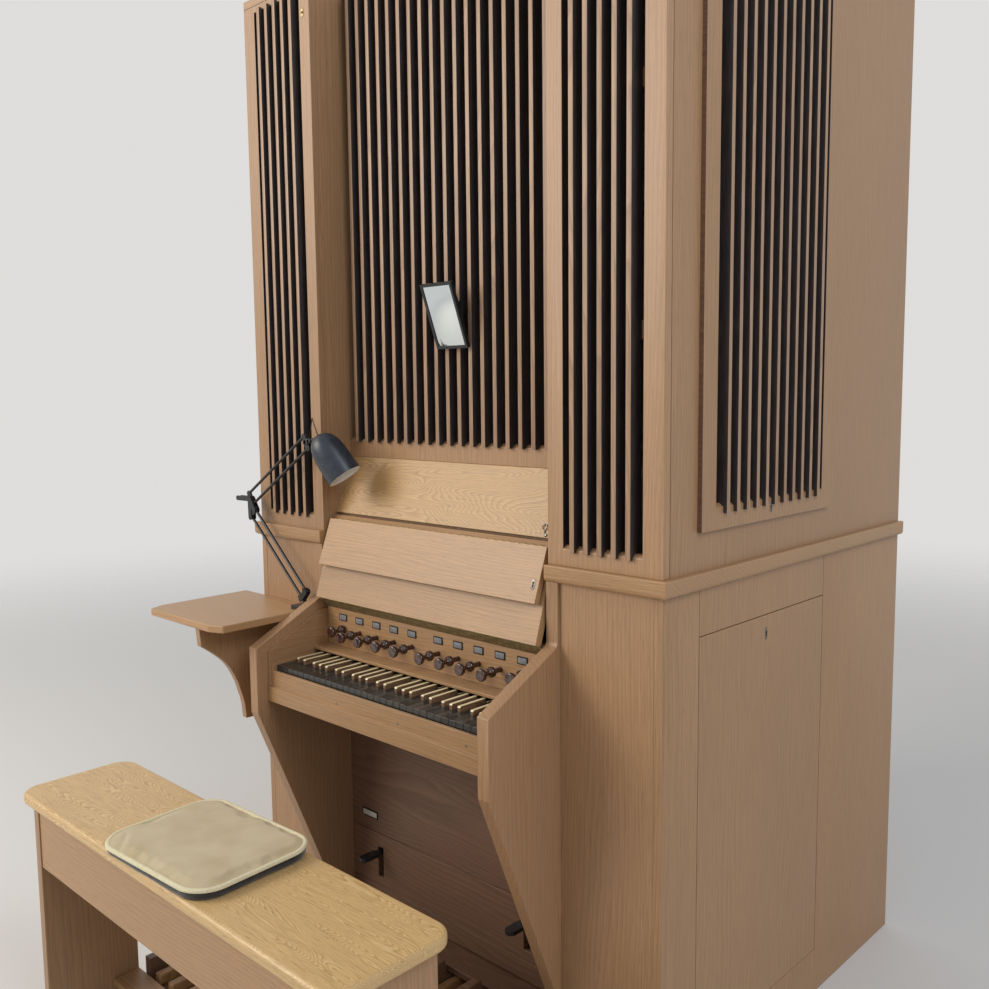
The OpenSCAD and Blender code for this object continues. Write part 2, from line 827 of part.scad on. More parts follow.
stop_knob_10();
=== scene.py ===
# %% [markdown]
# # A small pipe organ with its console in the front of the case
#
# The organ is an oak box 2.7 m high. Its console is built into the front: a manual, ten stop
# knobs, a lid that folds back, two foot levers and, on the floor, a pedalboard and a bench.
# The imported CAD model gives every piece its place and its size. This lesson dresses it: each
# board gets worn edges and oak grain, and the small fittings are added on top.

import json
import math

import bmesh
import bpy
import numpy as np
from mathutils import Matrix, Vector

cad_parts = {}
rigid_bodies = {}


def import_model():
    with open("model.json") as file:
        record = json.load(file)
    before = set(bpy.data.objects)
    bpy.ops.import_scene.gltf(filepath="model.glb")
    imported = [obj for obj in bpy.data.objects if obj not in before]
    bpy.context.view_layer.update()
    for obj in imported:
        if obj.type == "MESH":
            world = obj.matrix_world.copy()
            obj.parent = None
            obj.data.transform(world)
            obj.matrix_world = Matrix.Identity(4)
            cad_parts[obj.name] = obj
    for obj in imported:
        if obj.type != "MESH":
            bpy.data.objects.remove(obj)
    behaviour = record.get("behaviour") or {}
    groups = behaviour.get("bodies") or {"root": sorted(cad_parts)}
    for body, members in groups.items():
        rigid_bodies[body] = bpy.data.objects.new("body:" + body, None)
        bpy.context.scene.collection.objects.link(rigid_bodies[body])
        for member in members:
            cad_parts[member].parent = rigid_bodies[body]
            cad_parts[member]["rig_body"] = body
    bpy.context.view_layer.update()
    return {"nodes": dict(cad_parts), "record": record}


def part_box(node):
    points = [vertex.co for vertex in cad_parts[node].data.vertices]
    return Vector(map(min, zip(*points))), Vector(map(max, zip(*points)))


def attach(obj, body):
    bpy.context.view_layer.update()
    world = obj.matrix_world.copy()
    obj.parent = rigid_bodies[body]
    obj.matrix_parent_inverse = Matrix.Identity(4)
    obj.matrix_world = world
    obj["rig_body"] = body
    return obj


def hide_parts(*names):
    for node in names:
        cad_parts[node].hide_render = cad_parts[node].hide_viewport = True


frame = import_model()

# %% [markdown]
# Colours are written as the hex values a painter would pick on a screen. Blender's shaders
# work in linear light, so one function turns a hex value to linear. Another adds a node with
# its settings and its links, which keeps each material short enough to read.

# %% Colour and node helpers
def tone(text):
    """an sRGB hex colour as linear red, green, blue and an alpha of 1"""
    parts = [int(text[i : i + 2], 16) / 255 for i in (1, 3, 5)]
    return tuple(c / 12.92 if c <= 0.04045 else ((c + 0.055) / 1.055) ** 2.4 for c in parts) + (1.0,)


def set_stops(band, stops):
    """gives a colour ramp its (place, colour) stops"""
    while len(band.elements) > 1:
        band.elements.remove(band.elements[-1])
    band.elements[0].position, band.elements[0].color = stops[0]
    for place, colour in stops[1:]:
        band.elements.new(place).color = colour


def add(tree, kind, settings=None, inputs=None):
    """one node, with its settings, its values and its links; "stops" are those of a colour ramp"""
    made = tree.nodes.new(kind)
    for key, value in (settings or {}).items():
        if key == "stops":
            set_stops(made.color_ramp, value)
        else:
            setattr(made, key, value)
    for key, value in (inputs or {}).items():
        if isinstance(value, bpy.types.NodeSocket):
            tree.links.new(value, made.inputs[key])
        else:
            made.inputs[key].default_value = value
    return made


def new_material(name, rough, **constants):
    """a material with its shader, whose plain constants are set on the shader itself"""
    made = bpy.data.materials.new(name)
    made.use_nodes = True
    tree = made.node_tree
    tree.nodes.clear()
    shader = add(tree, "ShaderNodeBsdfPrincipled", None, {"Roughness": rough})
    for key, value in constants.items():
        shader.inputs[key.replace("_", " ")].default_value = value
    add(tree, "ShaderNodeOutputMaterial", None, {"Surface": shader.outputs[0]})
    return made, tree, shader


print("white", tone("#FFFFFF"), "oak", tone("#B08A60"))

# %% [markdown]
# ## Satin-lacquered oak
#
# Oak veneer and boards with a satin lacquer, warm brown in daylight. Three things make oak
# read as oak: broad growth figure, straight on a quarter-sawn panel and arched on a plain-sawn
# one, fine dark pores that run along the grain, and a slightly different tone on each board.
# The figure is the contour lines of a stretched noise. Real pores are 0.3 mm wide, too fine to
# show from two metres, so they are drawn about 1 mm wide. Each board carries its own number in
# an attribute, which shifts the pattern and the tone, so that no two neighbours match.

# %% Oak
ACROSS = {"x": (1, 2), "y": (0, 2), "z": (0, 1)}
BLACK, WHITE = (0, 0, 0, 1), (1, 1, 1, 1)


def grey(level):
    """a grey of linear red, green and blue, with an alpha of 1"""
    return (level, level, level, 1)


def oak(name, along, light, dark, figure, pitch, rough, pores):
    """oak whose grain runs along one axis; pitch is the ring spacing in mm, pores says how strongly
    they show, and figure how far the rings wander, from 0.2 on quarter-sawn veneer to 2.4 on a
    plain-sawn plank"""
    made, tree, shader = new_material(name, rough, Coat_Weight=0.12, Coat_Roughness=0.3)
    where = add(tree, "ShaderNodeTexCoord").outputs["Object"]
    board = add(tree, "ShaderNodeAttribute", {"attribute_name": "board"}).outputs["Fac"]
    board_jump = (5.3, 7.1, 3.7)
    jump = add(tree, "ShaderNodeVectorMath", {"operation": "SCALE"}, {0: board_jump, "Scale": board})
    place = add(tree, "ShaderNodeVectorMath", {"operation": "ADD"}, {0: where, 1: jump.outputs[0]})
    long_axis = "xyz".index(along)

    def stretched(across_per_m, along_per_m, detail):
        scale = [across_per_m] * 3
        scale[long_axis] = along_per_m
        fit = add(tree, "ShaderNodeMapping", None, {"Vector": place.outputs[0], "Scale": scale})
        return add(tree, "ShaderNodeTexNoise", None,
                   {"Vector": fit.outputs[0], "Scale": 1.0, "Detail": detail})

    # rings: distance across the board plus a slow wander, cut into repeating bands
    split = add(tree, "ShaderNodeSeparateXYZ", None, {0: place.outputs[0]})
    a, b = ACROSS[along]
    side = add(tree, "ShaderNodeMath", {"operation": "ADD"}, {0: split.outputs[a], 1: split.outputs[b]})
    wander = stretched(across_per_m=5.5, along_per_m=0.75, detail=2.5)
    push = add(tree, "ShaderNodeMath", {"operation": "MULTIPLY"}, {0: wander.outputs["Fac"], 1: figure})
    straightness = 1.0 if figure < 1 else 0.25
    spread = add(tree, "ShaderNodeMath", {"operation": "MULTIPLY_ADD"},
                 {0: side.outputs[0], 1: straightness, 2: push.outputs[0]})
    bands = add(tree, "ShaderNodeMath", {"operation": "MULTIPLY"}, {0: spread.outputs[0], 1: 1000.0 / pitch})
    ring = add(tree, "ShaderNodeMath", {"operation": "FRACT"}, {0: bands.outputs[0]})
    ring_stops = [(0.0, BLACK), (0.62, grey(0.55)), (0.86, WHITE), (1.0, grey(0.05))]
    soft = add(tree, "ShaderNodeValToRGB", {"stops": ring_stops}, {0: ring.outputs[0]})

    # streaks, pores and clouds: noises stretched along the board
    fibre = stretched(across_per_m=560.0, along_per_m=8.0, detail=3.0)
    streak = add(tree, "ShaderNodeValToRGB", {"stops": [(0.34, BLACK), (0.66, WHITE)]},
                 {0: fibre.outputs["Fac"]})
    pore = stretched(across_per_m=900.0, along_per_m=26.0, detail=1.0)
    dash = add(tree, "ShaderNodeValToRGB", {"stops": [(0.6, BLACK), (0.68, WHITE)]}, {0: pore.outputs["Fac"]})
    cloud = stretched(across_per_m=3.0, along_per_m=1.2, detail=2.0)

    # colour: rings with faint streaks, a level for the place and for the board, and the pores
    streak_share, pore_level = 0.2, 0.42
    base = add(tree, "ShaderNodeMix", {"data_type": "RGBA"},
               {0: soft.outputs[0], 6: tone(light), 7: tone(dark)})
    fine = add(tree, "ShaderNodeMix", {"data_type": "RGBA", "blend_type": "MULTIPLY"},
               {0: streak_share, 6: base.outputs[2], 7: streak.outputs[0]})
    shade = add(tree, "ShaderNodeMath", {"operation": "MULTIPLY_ADD"},
                {0: cloud.outputs["Fac"], 1: 0.22, 2: 0.86})
    each = add(tree, "ShaderNodeMath", {"operation": "MULTIPLY_ADD"}, {0: board, 1: 0.16, 2: 0.92})
    level = add(tree, "ShaderNodeMath", {"operation": "MULTIPLY"}, {0: shade.outputs[0], 1: each.outputs[0]})
    toned = add(tree, "ShaderNodeVectorMath", {"operation": "SCALE"},
                {0: fine.outputs[2], "Scale": level.outputs[0]})
    deep = add(tree, "ShaderNodeMath", {"operation": "MULTIPLY"}, {0: dash.outputs[0], 1: pores})
    pore_tone = tuple(c * pore_level for c in tone(dark)[:3]) + (1,)
    final = add(tree, "ShaderNodeMix", {"data_type": "RGBA"},
                {0: deep.outputs[0], 6: toned.outputs[0], 7: pore_tone})
    tree.links.new(final.outputs[2], shader.inputs["Base Color"])

    # gloss and relief follow the same streaks and pores
    gloss = add(tree, "ShaderNodeMapRange", None, {0: fibre.outputs["Fac"], 3: rough - 0.06, 4: rough + 0.08})
    tree.links.new(gloss.outputs[0], shader.inputs["Roughness"])
    height = add(tree, "ShaderNodeMath", {"operation": "MULTIPLY_ADD"},
                 {0: dash.outputs[0], 1: -1.0, 2: streak.outputs[0]})
    bump = add(tree, "ShaderNodeBump", None,
               {"Strength": 0.12, "Distance": 0.0006, "Height": height.outputs[0]})
    tree.links.new(bump.outputs[0], shader.inputs["Normal"])
    return made


OAK_UP = oak("quarter_sawn_oak_upright", "z", "#B08A65", "#A67F5A", 0.16, 12.0, 0.44, 0.35)
OAK_WIDE = oak("quarter_sawn_oak_lengthwise", "x", "#B68F66", "#A98259", 0.18, 11.0, 0.42, 0.35)
OAK_DEEP = oak("quarter_sawn_oak_front_to_back", "y", "#B08963", "#A57D57", 0.18, 12.0, 0.44, 0.35)
# the seat's oak is paler and yellower, and lightened further as painted light for the window light on the
# seat
OAK_PLANK_PAINTED_LIGHT = oak("plain_sawn_oak_plank", "x", "#E8C88F", "#C69B61", 2.4, 9.0, 0.38, 0.6)
OAK_DESK = oak("plain_sawn_oak_veneer", "x", "#C9A26C", "#AC8350", 1.6, 13.0, 0.42, 0.4)
# the same oak made darker: painted shade on the kneeboards and on the side grille frames' outer edges; the
# pedal frame and pedal sharps take it too
OAK_SHADED_DARKER = oak("oak_veneer_browned", "x", "#7D5D46", "#6B4D3A", 0.35, 18.0, 0.5, 0.4)
OAK_INSIDE = oak("oak_unlacquered_inside", "z", "#8A6A48", "#735538", 0.4, 20.0, 0.62, 0.3)
OAK_SLAT = oak("oak_slat_stock", "z", "#B59375", "#9C7B60", 0.3, 12.0, 0.48, 0.35)
OAK_PEDAL = oak("oak_worn_by_shoes", "y", "#B58C5E", "#93693F", 0.5, 12.0, 0.5, 0.5)
print("nine kinds of oak")

# %% [markdown]
# ## The other finishes
#
# The naturals are stained pear wood, almost black and polished by fingers. The sharps are brown
# blocks with bone-coloured tops. The knobs are turned rosewood under a gloss lacquer. The lamp's
# arms, the mirror frame and the levers are black enamel, and the lamp's shade is blue-black.
# Small fittings are nickelled steel or aged brass. None of these is quite even, so one function
# lets colour and gloss drift together between two close tones.

# %% Polished dark wood, bone and rosewood
def mottled(name, low, high, rough, per_m, metallic=0.0, bump=0.0, squeeze=(1, 1, 1), **constants):
    """a finish whose colour and gloss drift between two tones at the given scale"""
    made, tree, shader = new_material(name, rough, Metallic=metallic, **constants)
    where = add(tree, "ShaderNodeTexCoord").outputs["Object"]
    fit = add(tree, "ShaderNodeMapping", None, {"Vector": where, "Scale": squeeze})
    drift = add(tree, "ShaderNodeTexNoise", None,
                {"Vector": fit.outputs[0], "Scale": per_m, "Detail": 4.0})
    colour = add(tree, "ShaderNodeValToRGB", {"stops": [(0.35, tone(low)), (0.65, tone(high))]},
                 {0: drift.outputs["Fac"]})
    tree.links.new(colour.outputs[0], shader.inputs["Base Color"])
    gloss = add(tree, "ShaderNodeMapRange", None, {0: drift.outputs["Fac"], 3: rough * 0.8, 4: rough * 1.25})
    tree.links.new(gloss.outputs[0], shader.inputs["Roughness"])
    if bump:
        lift = add(tree, "ShaderNodeBump", None,
                   {"Strength": bump, "Distance": 0.0005, "Height": drift.outputs["Fac"]})
        tree.links.new(lift.outputs[0], shader.inputs["Normal"])
    return made


PEAR = mottled("stained_pear_wood_polished", "#17191A", "#2A2D2E", 0.3, 60.0, squeeze=(8, 1, 1),
               Coat_Weight=0.3)
BONE = mottled("bone_key_tops", "#DDCF9F", "#EADFB8", 0.32, 40.0, squeeze=(4, 0.6, 4), Coat_Weight=0.2)
ROSEWOOD = mottled("rosewood_gloss_lacquer", "#1F0F0D", "#48221A", 0.16, 70.0, squeeze=(3, 1, 3),
                   Coat_Weight=0.8, Coat_Roughness=0.05)
ENAMEL = mottled("black_enamel_satin", "#15171A", "#1E2125", 0.33, 90.0, bump=0.05)
SHADE_PAINT = mottled("blue_black_enamel_satin", "#232A32", "#2E3742", 0.36, 60.0, bump=0.04)
SHADE_INSIDE = mottled("white_enamel_inside", "#E6E4DC", "#F0EEE8", 0.45, 60.0)
NICKEL = mottled("nickelled_steel", "#77746C", "#918D84", 0.42, 200.0, 0.9)
# aged brass lightened beyond its own tone: painted light for the desk lamp's glow on the lid's hinge
BRASS = mottled("aged_brass", "#8A7A58", "#AA9970", 0.42, 120.0, 0.75, 0.1)
TIN = mottled("spotted_tin_alloy", "#8E9092", "#B4B6B8", 0.38, 35.0, 1.0)
LABEL = mottled("grey_plastic_label", "#74777B", "#85888B", 0.5, 80.0)
LABEL_PALE = mottled("ivory_plastic_label", "#B9B4A6", "#C8C4B6", 0.45, 80.0)
# painted shade for the faces that look into the dark case
INSIDE_PAINTED_SHADE = mottled("dark_unlit_inside", "#241D1A", "#302823", 0.9, 20.0)
# black painted shade for the sides of the slats and the reveals of the grille openings
BLACK_PAINTED_SHADE = mottled("oak_slat_side_stained_black", "#2A2321", "#3A302D", 0.6, 40.0, squeeze=(4, 4, 0.5))
SHARP_SIDE = mottled("brown_pear_wood_sides", "#6B4F38", "#876A4E", 0.45, 60.0, squeeze=(4, 0.6, 4))
# dark for the rims of the labels and plates, and painted shade for the inside of the keyholes
DARK_RIMS_AND_HOLE_SHADE = mottled("dark_inside_of_a_lock", "#0B0A09", "#141210", 0.8, 90.0)
FELT = mottled("black_felt_underside", "#141414", "#232220", 0.95, 400.0, bump=0.4, Sheen_Weight=0.4)
SILVERED = new_material("silvered_glass", 0.02, Metallic=1.0, Base_Color=tone("#DDE3E4"))[0]
BULB = new_material("frosted_glass_bulb", 0.35, Base_Color=tone("#F4F0E2"), Transmission_Weight=0.15)[0]
print("eighteen more finishes")

# %% [markdown]
# ## Boards with worn edges
#
# No joiner leaves a knife edge: every board is eased with a plane and then lacquered, and that
# small radius is what catches the light along a real edge. The CAD solids are sharp, so each
# wooden node is copied, its loose triangles are joined into faces, and a bevel, mostly of one to
# three millimetres, eases the corners. The copy stands for its node and rides on the same body.
# Each separate board in it gets its own number for the oak material.

# %% Ease the edges of a node
WELD_DISTANCE = 2e-5
FLAT_WITHIN = math.radians(0.6)
EDGE_ANGLE = math.radians(32)


def numbered(mesh, seed):
    """gives each loose part of a mesh its own number from 0 to 1, in the attribute board"""
    work = bmesh.new()
    work.from_mesh(mesh)
    work.faces.ensure_lookup_table()
    seen, values, part = set(), [0.0] * len(work.faces), 0
    for face in work.faces:
        if face.index in seen:
            continue
        part += 1
        # the fraction of a large sine looks random and is the same on every run
        number = (math.sin(seed * 12.9898 + part * 78.233) * 43758.5453) % 1.0
        stack = [face]
        seen.add(face.index)
        while stack:
            here = stack.pop()
            values[here.index] = number
            for edge in here.edges:
                for other in edge.link_faces:
                    if other.index not in seen:
                        seen.add(other.index)
                        stack.append(other)
    work.free()
    layer = mesh.attributes.new("board", "FLOAT", "FACE")
    layer.data.foreach_set("value", values)
    return part


def show(made, body, *materials):
    """puts materials on a new piece and lets it ride on its body; faces keep their slot numbers"""
    slots = made.data.materials
    for number, finish in enumerate(materials):
        if number < len(slots):
            slots[number] = finish
        else:
            slots.append(finish)
    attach(made, body)


def smooth_by_angle(mesh, degrees=35):
    """smooth shading, with an edge kept sharp where it turns by more than these degrees"""
    mesh.polygons.foreach_set("use_smooth", [True] * len(mesh.polygons))
    mesh.set_sharp_from_angle(angle=math.radians(degrees))


def body_of(node):
    """the name of the body that a CAD node rides on"""
    return frame["nodes"][node]["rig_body"]


def placed(name, data):
    """a new object at the origin, linked to the scene"""
    made = bpy.data.objects.new(name, data)
    bpy.context.scene.collection.objects.link(made)
    return made


def eased(node, finish, radius, segments=2):
    """a copy of a CAD node with eased edges that stands for it; radius in mm"""
    mesh = frame["nodes"][node].data.copy()
    work = bmesh.new()
    work.from_mesh(mesh)
    bmesh.ops.remove_doubles(work, verts=work.verts, dist=WELD_DISTANCE)
    bmesh.ops.dissolve_limit(work, angle_limit=FLAT_WITHIN, verts=work.verts, edges=work.edges)
    work.to_mesh(mesh)
    work.free()
    made = placed(node + "_eased", mesh)
    parts = numbered(mesh, len(node) + sum(map(ord, node)) % 97)
    smooth_by_angle(mesh)
    edge = made.modifiers.new("eased", "BEVEL")
    edge.width = radius / 1000
    edge.segments = segments
    edge.limit_method = "ANGLE"
    edge.angle_limit = EDGE_ANGLE
    edge.harden_normals = True
    edge.use_clamp_overlap = True
    show(made, body_of(node), finish)
    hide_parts(node)
    print(f"{node}: {parts} boards, {len(mesh.polygons)} faces")
    return made


SLOT_OF = {row["node"]: row["material_slot"] for row in frame["record"]["subparts"]}

# %% The case
for node, finish, radius in (
    ("lower_sides", OAK_UP, 1.2), ("access_panels", OAK_UP, 1.0), ("lower_front", OAK_UP, 1.2),
    ("back_panels", OAK_UP, 1.2), ("belt_moulding", OAK_WIDE, 0.8), ("upper_sides", OAK_UP, 1.2),
    ("side_grille_frames", OAK_UP, 1.8), ("front_frames", OAK_UP, 1.5), ("recess_returns", OAK_UP, 1.0),
    ("roof", OAK_WIDE, 1.5), ("desk_panel", OAK_DESK, 1.0),
):
    eased(node, finish, radius)
for node in ("base_frame", "windchest", "slat_carriers", "lever_rail"):
    eased(node, OAK_INSIDE, 1.0)

# %% [markdown]
# Some faces of a board differ from its front. What looks into the case lies in the dark, so those
# faces get a painted shade. The reveals of the grille openings get a black painted shade, and the
# outer edges of the side grille frames a brown one. All are picked by the way a face points and by
# where it lies, so the boards stay whole.

# %% Inside faces and reveals with painted shade
X, Y, Z = range(3)
SQUARE_ON = 0.9


def darken(node, *inward):
    """the faces that look inwards (side -1) or outwards (side 1) along an axis take the inside's painted
    shade
    """
    made = bpy.data.objects[node + "_eased"]
    made.data.materials.append(INSIDE_PAINTED_SHADE)
    for face in made.data.polygons:
        if any(face.normal[axis] * face.center[axis] * side > 0 and abs(face.normal[axis]) > SQUARE_ON
               for axis, side in inward):
            face.material_index = 1


darken("back_panels", (Y, -1))
darken("upper_sides", (X, -1))
darken("lower_sides", (X, -1))
darken("roof", (Z, -1))
darken("windchest", (Y, 1), (Y, -1), (Z, 1))
darken("recess_returns", (X, 1))


def paint_shade_on_planes(node, axis, *planes, finish=BLACK_PAINTED_SHADE, within=0.001):
    """the faces of a dressed node that lie on these planes take a painted shade, black unless another finish
    is given
    """
    made = bpy.data.objects[node + "_eased"]
    made.data.materials.append(finish)
    index, count = len(made.data.materials) - 1, 0
    for face in made.data.polygons:
        gap = min(abs(face.center[axis] - plane) for plane in planes)
        if abs(face.normal[axis]) > SQUARE_ON and gap < within:
            face.material_index = index
            count += 1
    print(node, "faces given painted shade:", count)


BAY_OPENING = (0.452, 0.6605)
SIDE_OPENING = (-0.408, 0.078)
# black painted shade on the reveals of the bay and side openings
paint_shade_on_planes("front_frames", X, *(side * edge for side in (-1, 1) for edge in BAY_OPENING))
paint_shade_on_planes("side_grille_frames", Y, *SIDE_OPENING)
paint_shade_on_planes("upper_sides", Y, *SIDE_OPENING)
# brown painted shade on the outer edges of the side grille frames
frame_low, frame_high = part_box("side_grille_frames")
for axis in (Y, Z):
    paint_shade_on_planes("side_grille_frames", axis, frame_low[axis], frame_high[axis], finish=OAK_SHADED_DARKER)

# %% The console
for node, finish, radius in (
    ("cheeks", OAK_UP, 2.0), ("cheek_liners", OAK_DEEP, 1.0), ("key_bed", OAK_INSIDE, 1.0),
    ("key_rails", OAK_WIDE, 1.2), ("stop_jamb", OAK_WIDE, 0.6),
    # the kneeboards take the darker oak as painted shade of the knee recess
    ("kneeboards", OAK_SHADED_DARKER, 1.2), ("lid_lower_leaf", OAK_WIDE, 2.0), ("lid_upper_leaf", OAK_WIDE, 2.0),
    ("shelf", OAK_WIDE, 3.0), ("shelf_bracket", OAK_UP, 1.5),
):
    eased(node, finish, radius)

# %% [markdown]
# ## Bench and pedalboard
#
# The seat is a plain-sawn plank, rounded along every edge, so its bevel is a third of its
# thickness. The pedals are long sticks whose tops shoes have worn round. All of them keep the
# CAD solids, because only their edges differ from plain boards.

# %% Bench and pedalboard
for node, finish, radius, segments in (
    # the seat's plank oak carries painted light from the window
    ("bench_top", OAK_PLANK_PAINTED_LIGHT, 9.0, 4), ("bench_ends", OAK_UP, 2.0, 2), ("bench_rails", OAK_WIDE, 2.0, 2),
    ("pedal_frame", OAK_SHADED_DARKER, 2.0, 2), ("pedal_naturals", OAK_PEDAL, 4.0, 3),
    ("pedal_sharps", OAK_SHADED_DARKER, 4.0, 3),
):
    eased(node, finish, radius, segments)

# %% [markdown]
# ## Keys
#
# The naturals are dark with a hairline gap between neighbours, and the sharps are brown blocks
# with a sloping nose and a pale top. Both keep the CAD solids, with the small radius that fingers
# feel. The top of a sharp is what faces upwards, its nose included.

# %% Keys
TOP_FACING = 0.4
eased("naturals", PEAR, 0.7, 2)
sharps = eased("sharps", BONE, 1.4, 3)
sharps.data.materials.append(SHARP_SIDE)
for face in sharps.data.polygons:
    face.material_index = 0 if face.normal.z > TOP_FACING else 1

# %% [markdown]
# ## Rows by Geometry Nodes
#
# Slats, screws and hinge knuckles repeat. One small node tree plants a template on a set of
# points: each point carries the direction it faces, and the tree turns every copy by a seeded
# random angle about that direction, numbers it for the oak, joins the copies and gives them
# their finish. Only the plain mesh that comes out is kept.

# %% The planting tree
FULL_TURN = 6.283


def planting_tree():
    """the node tree, and the identifier of each of its named inputs"""
    tree = bpy.data.node_groups.new("plant on points", "GeometryNodeTree")
    tree.interface.new_socket("Points", in_out="INPUT", socket_type="NodeSocketGeometry")
    ids = {}
    for label, kind in (("Template", "Object"), ("Finish", "Material"), ("Spin", "Float"), ("Seed", "Int")):
        socket = tree.interface.new_socket(label, in_out="INPUT", socket_type="NodeSocket" + kind)
        ids[label] = socket.identifier
    tree.interface.new_socket("Planted", in_out="OUTPUT", socket_type="NodeSocketGeometry")
    given = add(tree, "NodeGroupInput")
    facing = add(tree, "GeometryNodeInputNamedAttribute", {"data_type": "FLOAT_VECTOR"}, {"Name": "facing"})
    aim = add(tree, "FunctionNodeAlignRotationToVector", {"axis": "Z"}, {"Vector": facing.outputs[0]})
    chance = add(tree, "FunctionNodeRandomValue", {"data_type": "FLOAT"},
                 {3: FULL_TURN, "Seed": given.outputs["Seed"]})
    angle = add(tree, "ShaderNodeMath", {"operation": "MULTIPLY"},
                {0: chance.outputs[1], 1: given.outputs["Spin"]})
    spin = add(tree, "FunctionNodeAxisAngleToRotation", None, {"Angle": angle.outputs[0]})
    turned_by = add(tree, "FunctionNodeRotateRotation", {"rotation_space": "LOCAL"},
                    {0: aim.outputs[0], 1: spin.outputs[0]})
    template = add(tree, "GeometryNodeObjectInfo", None, {"Object": given.outputs["Template"]})
    copies = add(tree, "GeometryNodeInstanceOnPoints", None,
                 {"Points": given.outputs["Points"], "Instance": template.outputs["Geometry"],
                  "Rotation": turned_by.outputs[0]})
    number = add(tree, "FunctionNodeRandomValue", {"data_type": "FLOAT"}, {"Seed": given.outputs["Seed"]})
    told = add(tree, "GeometryNodeStoreNamedAttribute", {"data_type": "FLOAT", "domain": "INSTANCE"},
               {"Geometry": copies.outputs[0], "Name": "board", "Value": number.outputs[1]})
    real = add(tree, "GeometryNodeRealizeInstances", None, {0: told.outputs[0]})
    painted = add(tree, "GeometryNodeSetMaterial", None,
                  {"Geometry": real.outputs[0], "Material": given.outputs["Finish"]})
    add(tree, "NodeGroupOutput", None, {0: painted.outputs[0]})
    return tree, ids


PLANT, PLANT_IDS = planting_tree()


def keep_result(made):
    """turns what the modifiers give into the object's own mesh, and returns that mesh"""
    result = bpy.data.meshes.new_from_object(made.evaluated_get(bpy.context.evaluated_depsgraph_get()))
    made.modifiers.clear()
    made.data = result
    return result


def rows(name, template, points, body, finish, spin=0.0, seed=7):
    """plants a template mesh on (place, direction) pairs, in metres, and keeps the plain mesh"""
    mesh = bpy.data.meshes.new(name)
    mesh.from_pydata([p for p, _ in points], [], [])
    mesh.attributes.new("facing", "FLOAT_VECTOR", "POINT").data.foreach_set(
        "vector", [c for _, d in points for c in d])
    made = placed(name, mesh)
    pattern = placed(name + "_template", template)
    grow = made.modifiers.new("plant", "NODES")
    grow.node_group = PLANT
    for label, value in (("Template", pattern), ("Finish", finish), ("Spin", spin), ("Seed", seed)):
        grow[PLANT_IDS[label]] = value
    result = keep_result(made)
    result.materials.clear()
    bpy.data.objects.remove(pattern)
    smooth_by_angle(result)
    show(made, body, finish)
    print(f"{name}: {len(points)} copies, {len(result.polygons)} faces")
    return made


# %% [markdown]
# Small pieces are drawn from three shapes: an eased block, a turned solid given by its radii
# along an axis, and a rod that follows a line of points. A turned solid and a rod are both rings
# of points with a skin of faces between them, so one helper lays every skin.

# %% Blocks, turned solids and rods
def drawn(*parts):
    """one bmesh from parts, each (builder, values)"""
    work = bmesh.new()
    for builder, *values in parts:
        builder(work, *values)
    bmesh.ops.recalc_face_normals(work, faces=work.faces)
    return work


def paint_new(work, before, index):
    """gives a finish's number to the faces that were not there before"""
    for face in work.faces:
        if face not in before:
            face.material_index = index


def standing(x, y, z, place):
    """the matrix whose local X, Y and Z point along three directions from a place"""
    matrix = Matrix((x, y, z)).transposed().to_4x4()
    matrix.translation = Vector(place)
    return matrix


def circle(steps):
    """the cosine and sine of evenly spaced angles"""
    return [(math.cos(math.tau * k / steps), math.sin(math.tau * k / steps)) for k in range(steps)]


def skin(work, rings):
    """faces between neighbouring rings of points; a ring of one point is a tip"""
    for low, high in zip(rings, rings[1:]):
        for k in range(max(len(low), len(high))):
            corners = (low[k % len(low)], low[(k + 1) % len(low)],
                       high[(k + 1) % len(high)], high[k % len(high)])
            corners = list(dict.fromkeys(corners))
            if len(corners) > 2:
                work.faces.new(corners)


def block(work, low, high, ease=0.0, index=0, matrix=Matrix()):
    """a block between two corners with its edges eased, in metres"""
    before = set(work.faces)
    size = Vector(high) - Vector(low)
    middle = (Vector(high) + Vector(low)) / 2
    shape = matrix @ Matrix.Translation(middle) @ Matrix.Diagonal((*size, 1))
    new = bmesh.ops.create_cube(work, size=1.0, matrix=shape)
    if ease:
        edges = {e for v in new["verts"] for e in v.link_edges}
        bmesh.ops.bevel(work, geom=list(edges), offset=ease, segments=2, affect="EDGES", profile=0.5)
    paint_new(work, before, index)


def turned(work, profile, place=(0, 0, 0), axis=(0, 0, 1), steps=32, index=0):
    """a solid turned about an axis; profile is [(radius, height)] from end to end"""
    before = set(work.faces)
    aim = Vector(axis).to_track_quat("Z", "Y").to_matrix().to_4x4()
    matrix = Matrix.Translation(place) @ aim
    rings = []
    for radius, height in profile:
        around = circle(steps) if radius > 0 else circle(1)
        rings.append([work.verts.new(matrix @ Vector((radius * c, radius * s, height))) for c, s in around])
    skin(work, rings)
    for ring in (rings[0], rings[-1]):
        if len(ring) > 1:
            work.faces.new(ring)
    paint_new(work, before, index)


def rod(work, points, radius, steps=12):
    """a round rod that follows points, with flat ends"""
    points = [Vector(p) for p in points]
    side, rings = None, []
    for i, here in enumerate(points):
        ahead = (points[min(i + 1, len(points) - 1)] - points[max(i - 1, 0)]).normalized()
        if side is None:
            side = ahead.orthogonal().normalized()
        side = (side - ahead * side.dot(ahead)).normalized()
        up = ahead.cross(side)
        rings.append([work.verts.new(here + (side * c + up * s) * radius) for c, s in circle(steps)])
    skin(work, rings)
    work.faces.new(rings[0][::-1])
    work.faces.new(rings[-1])


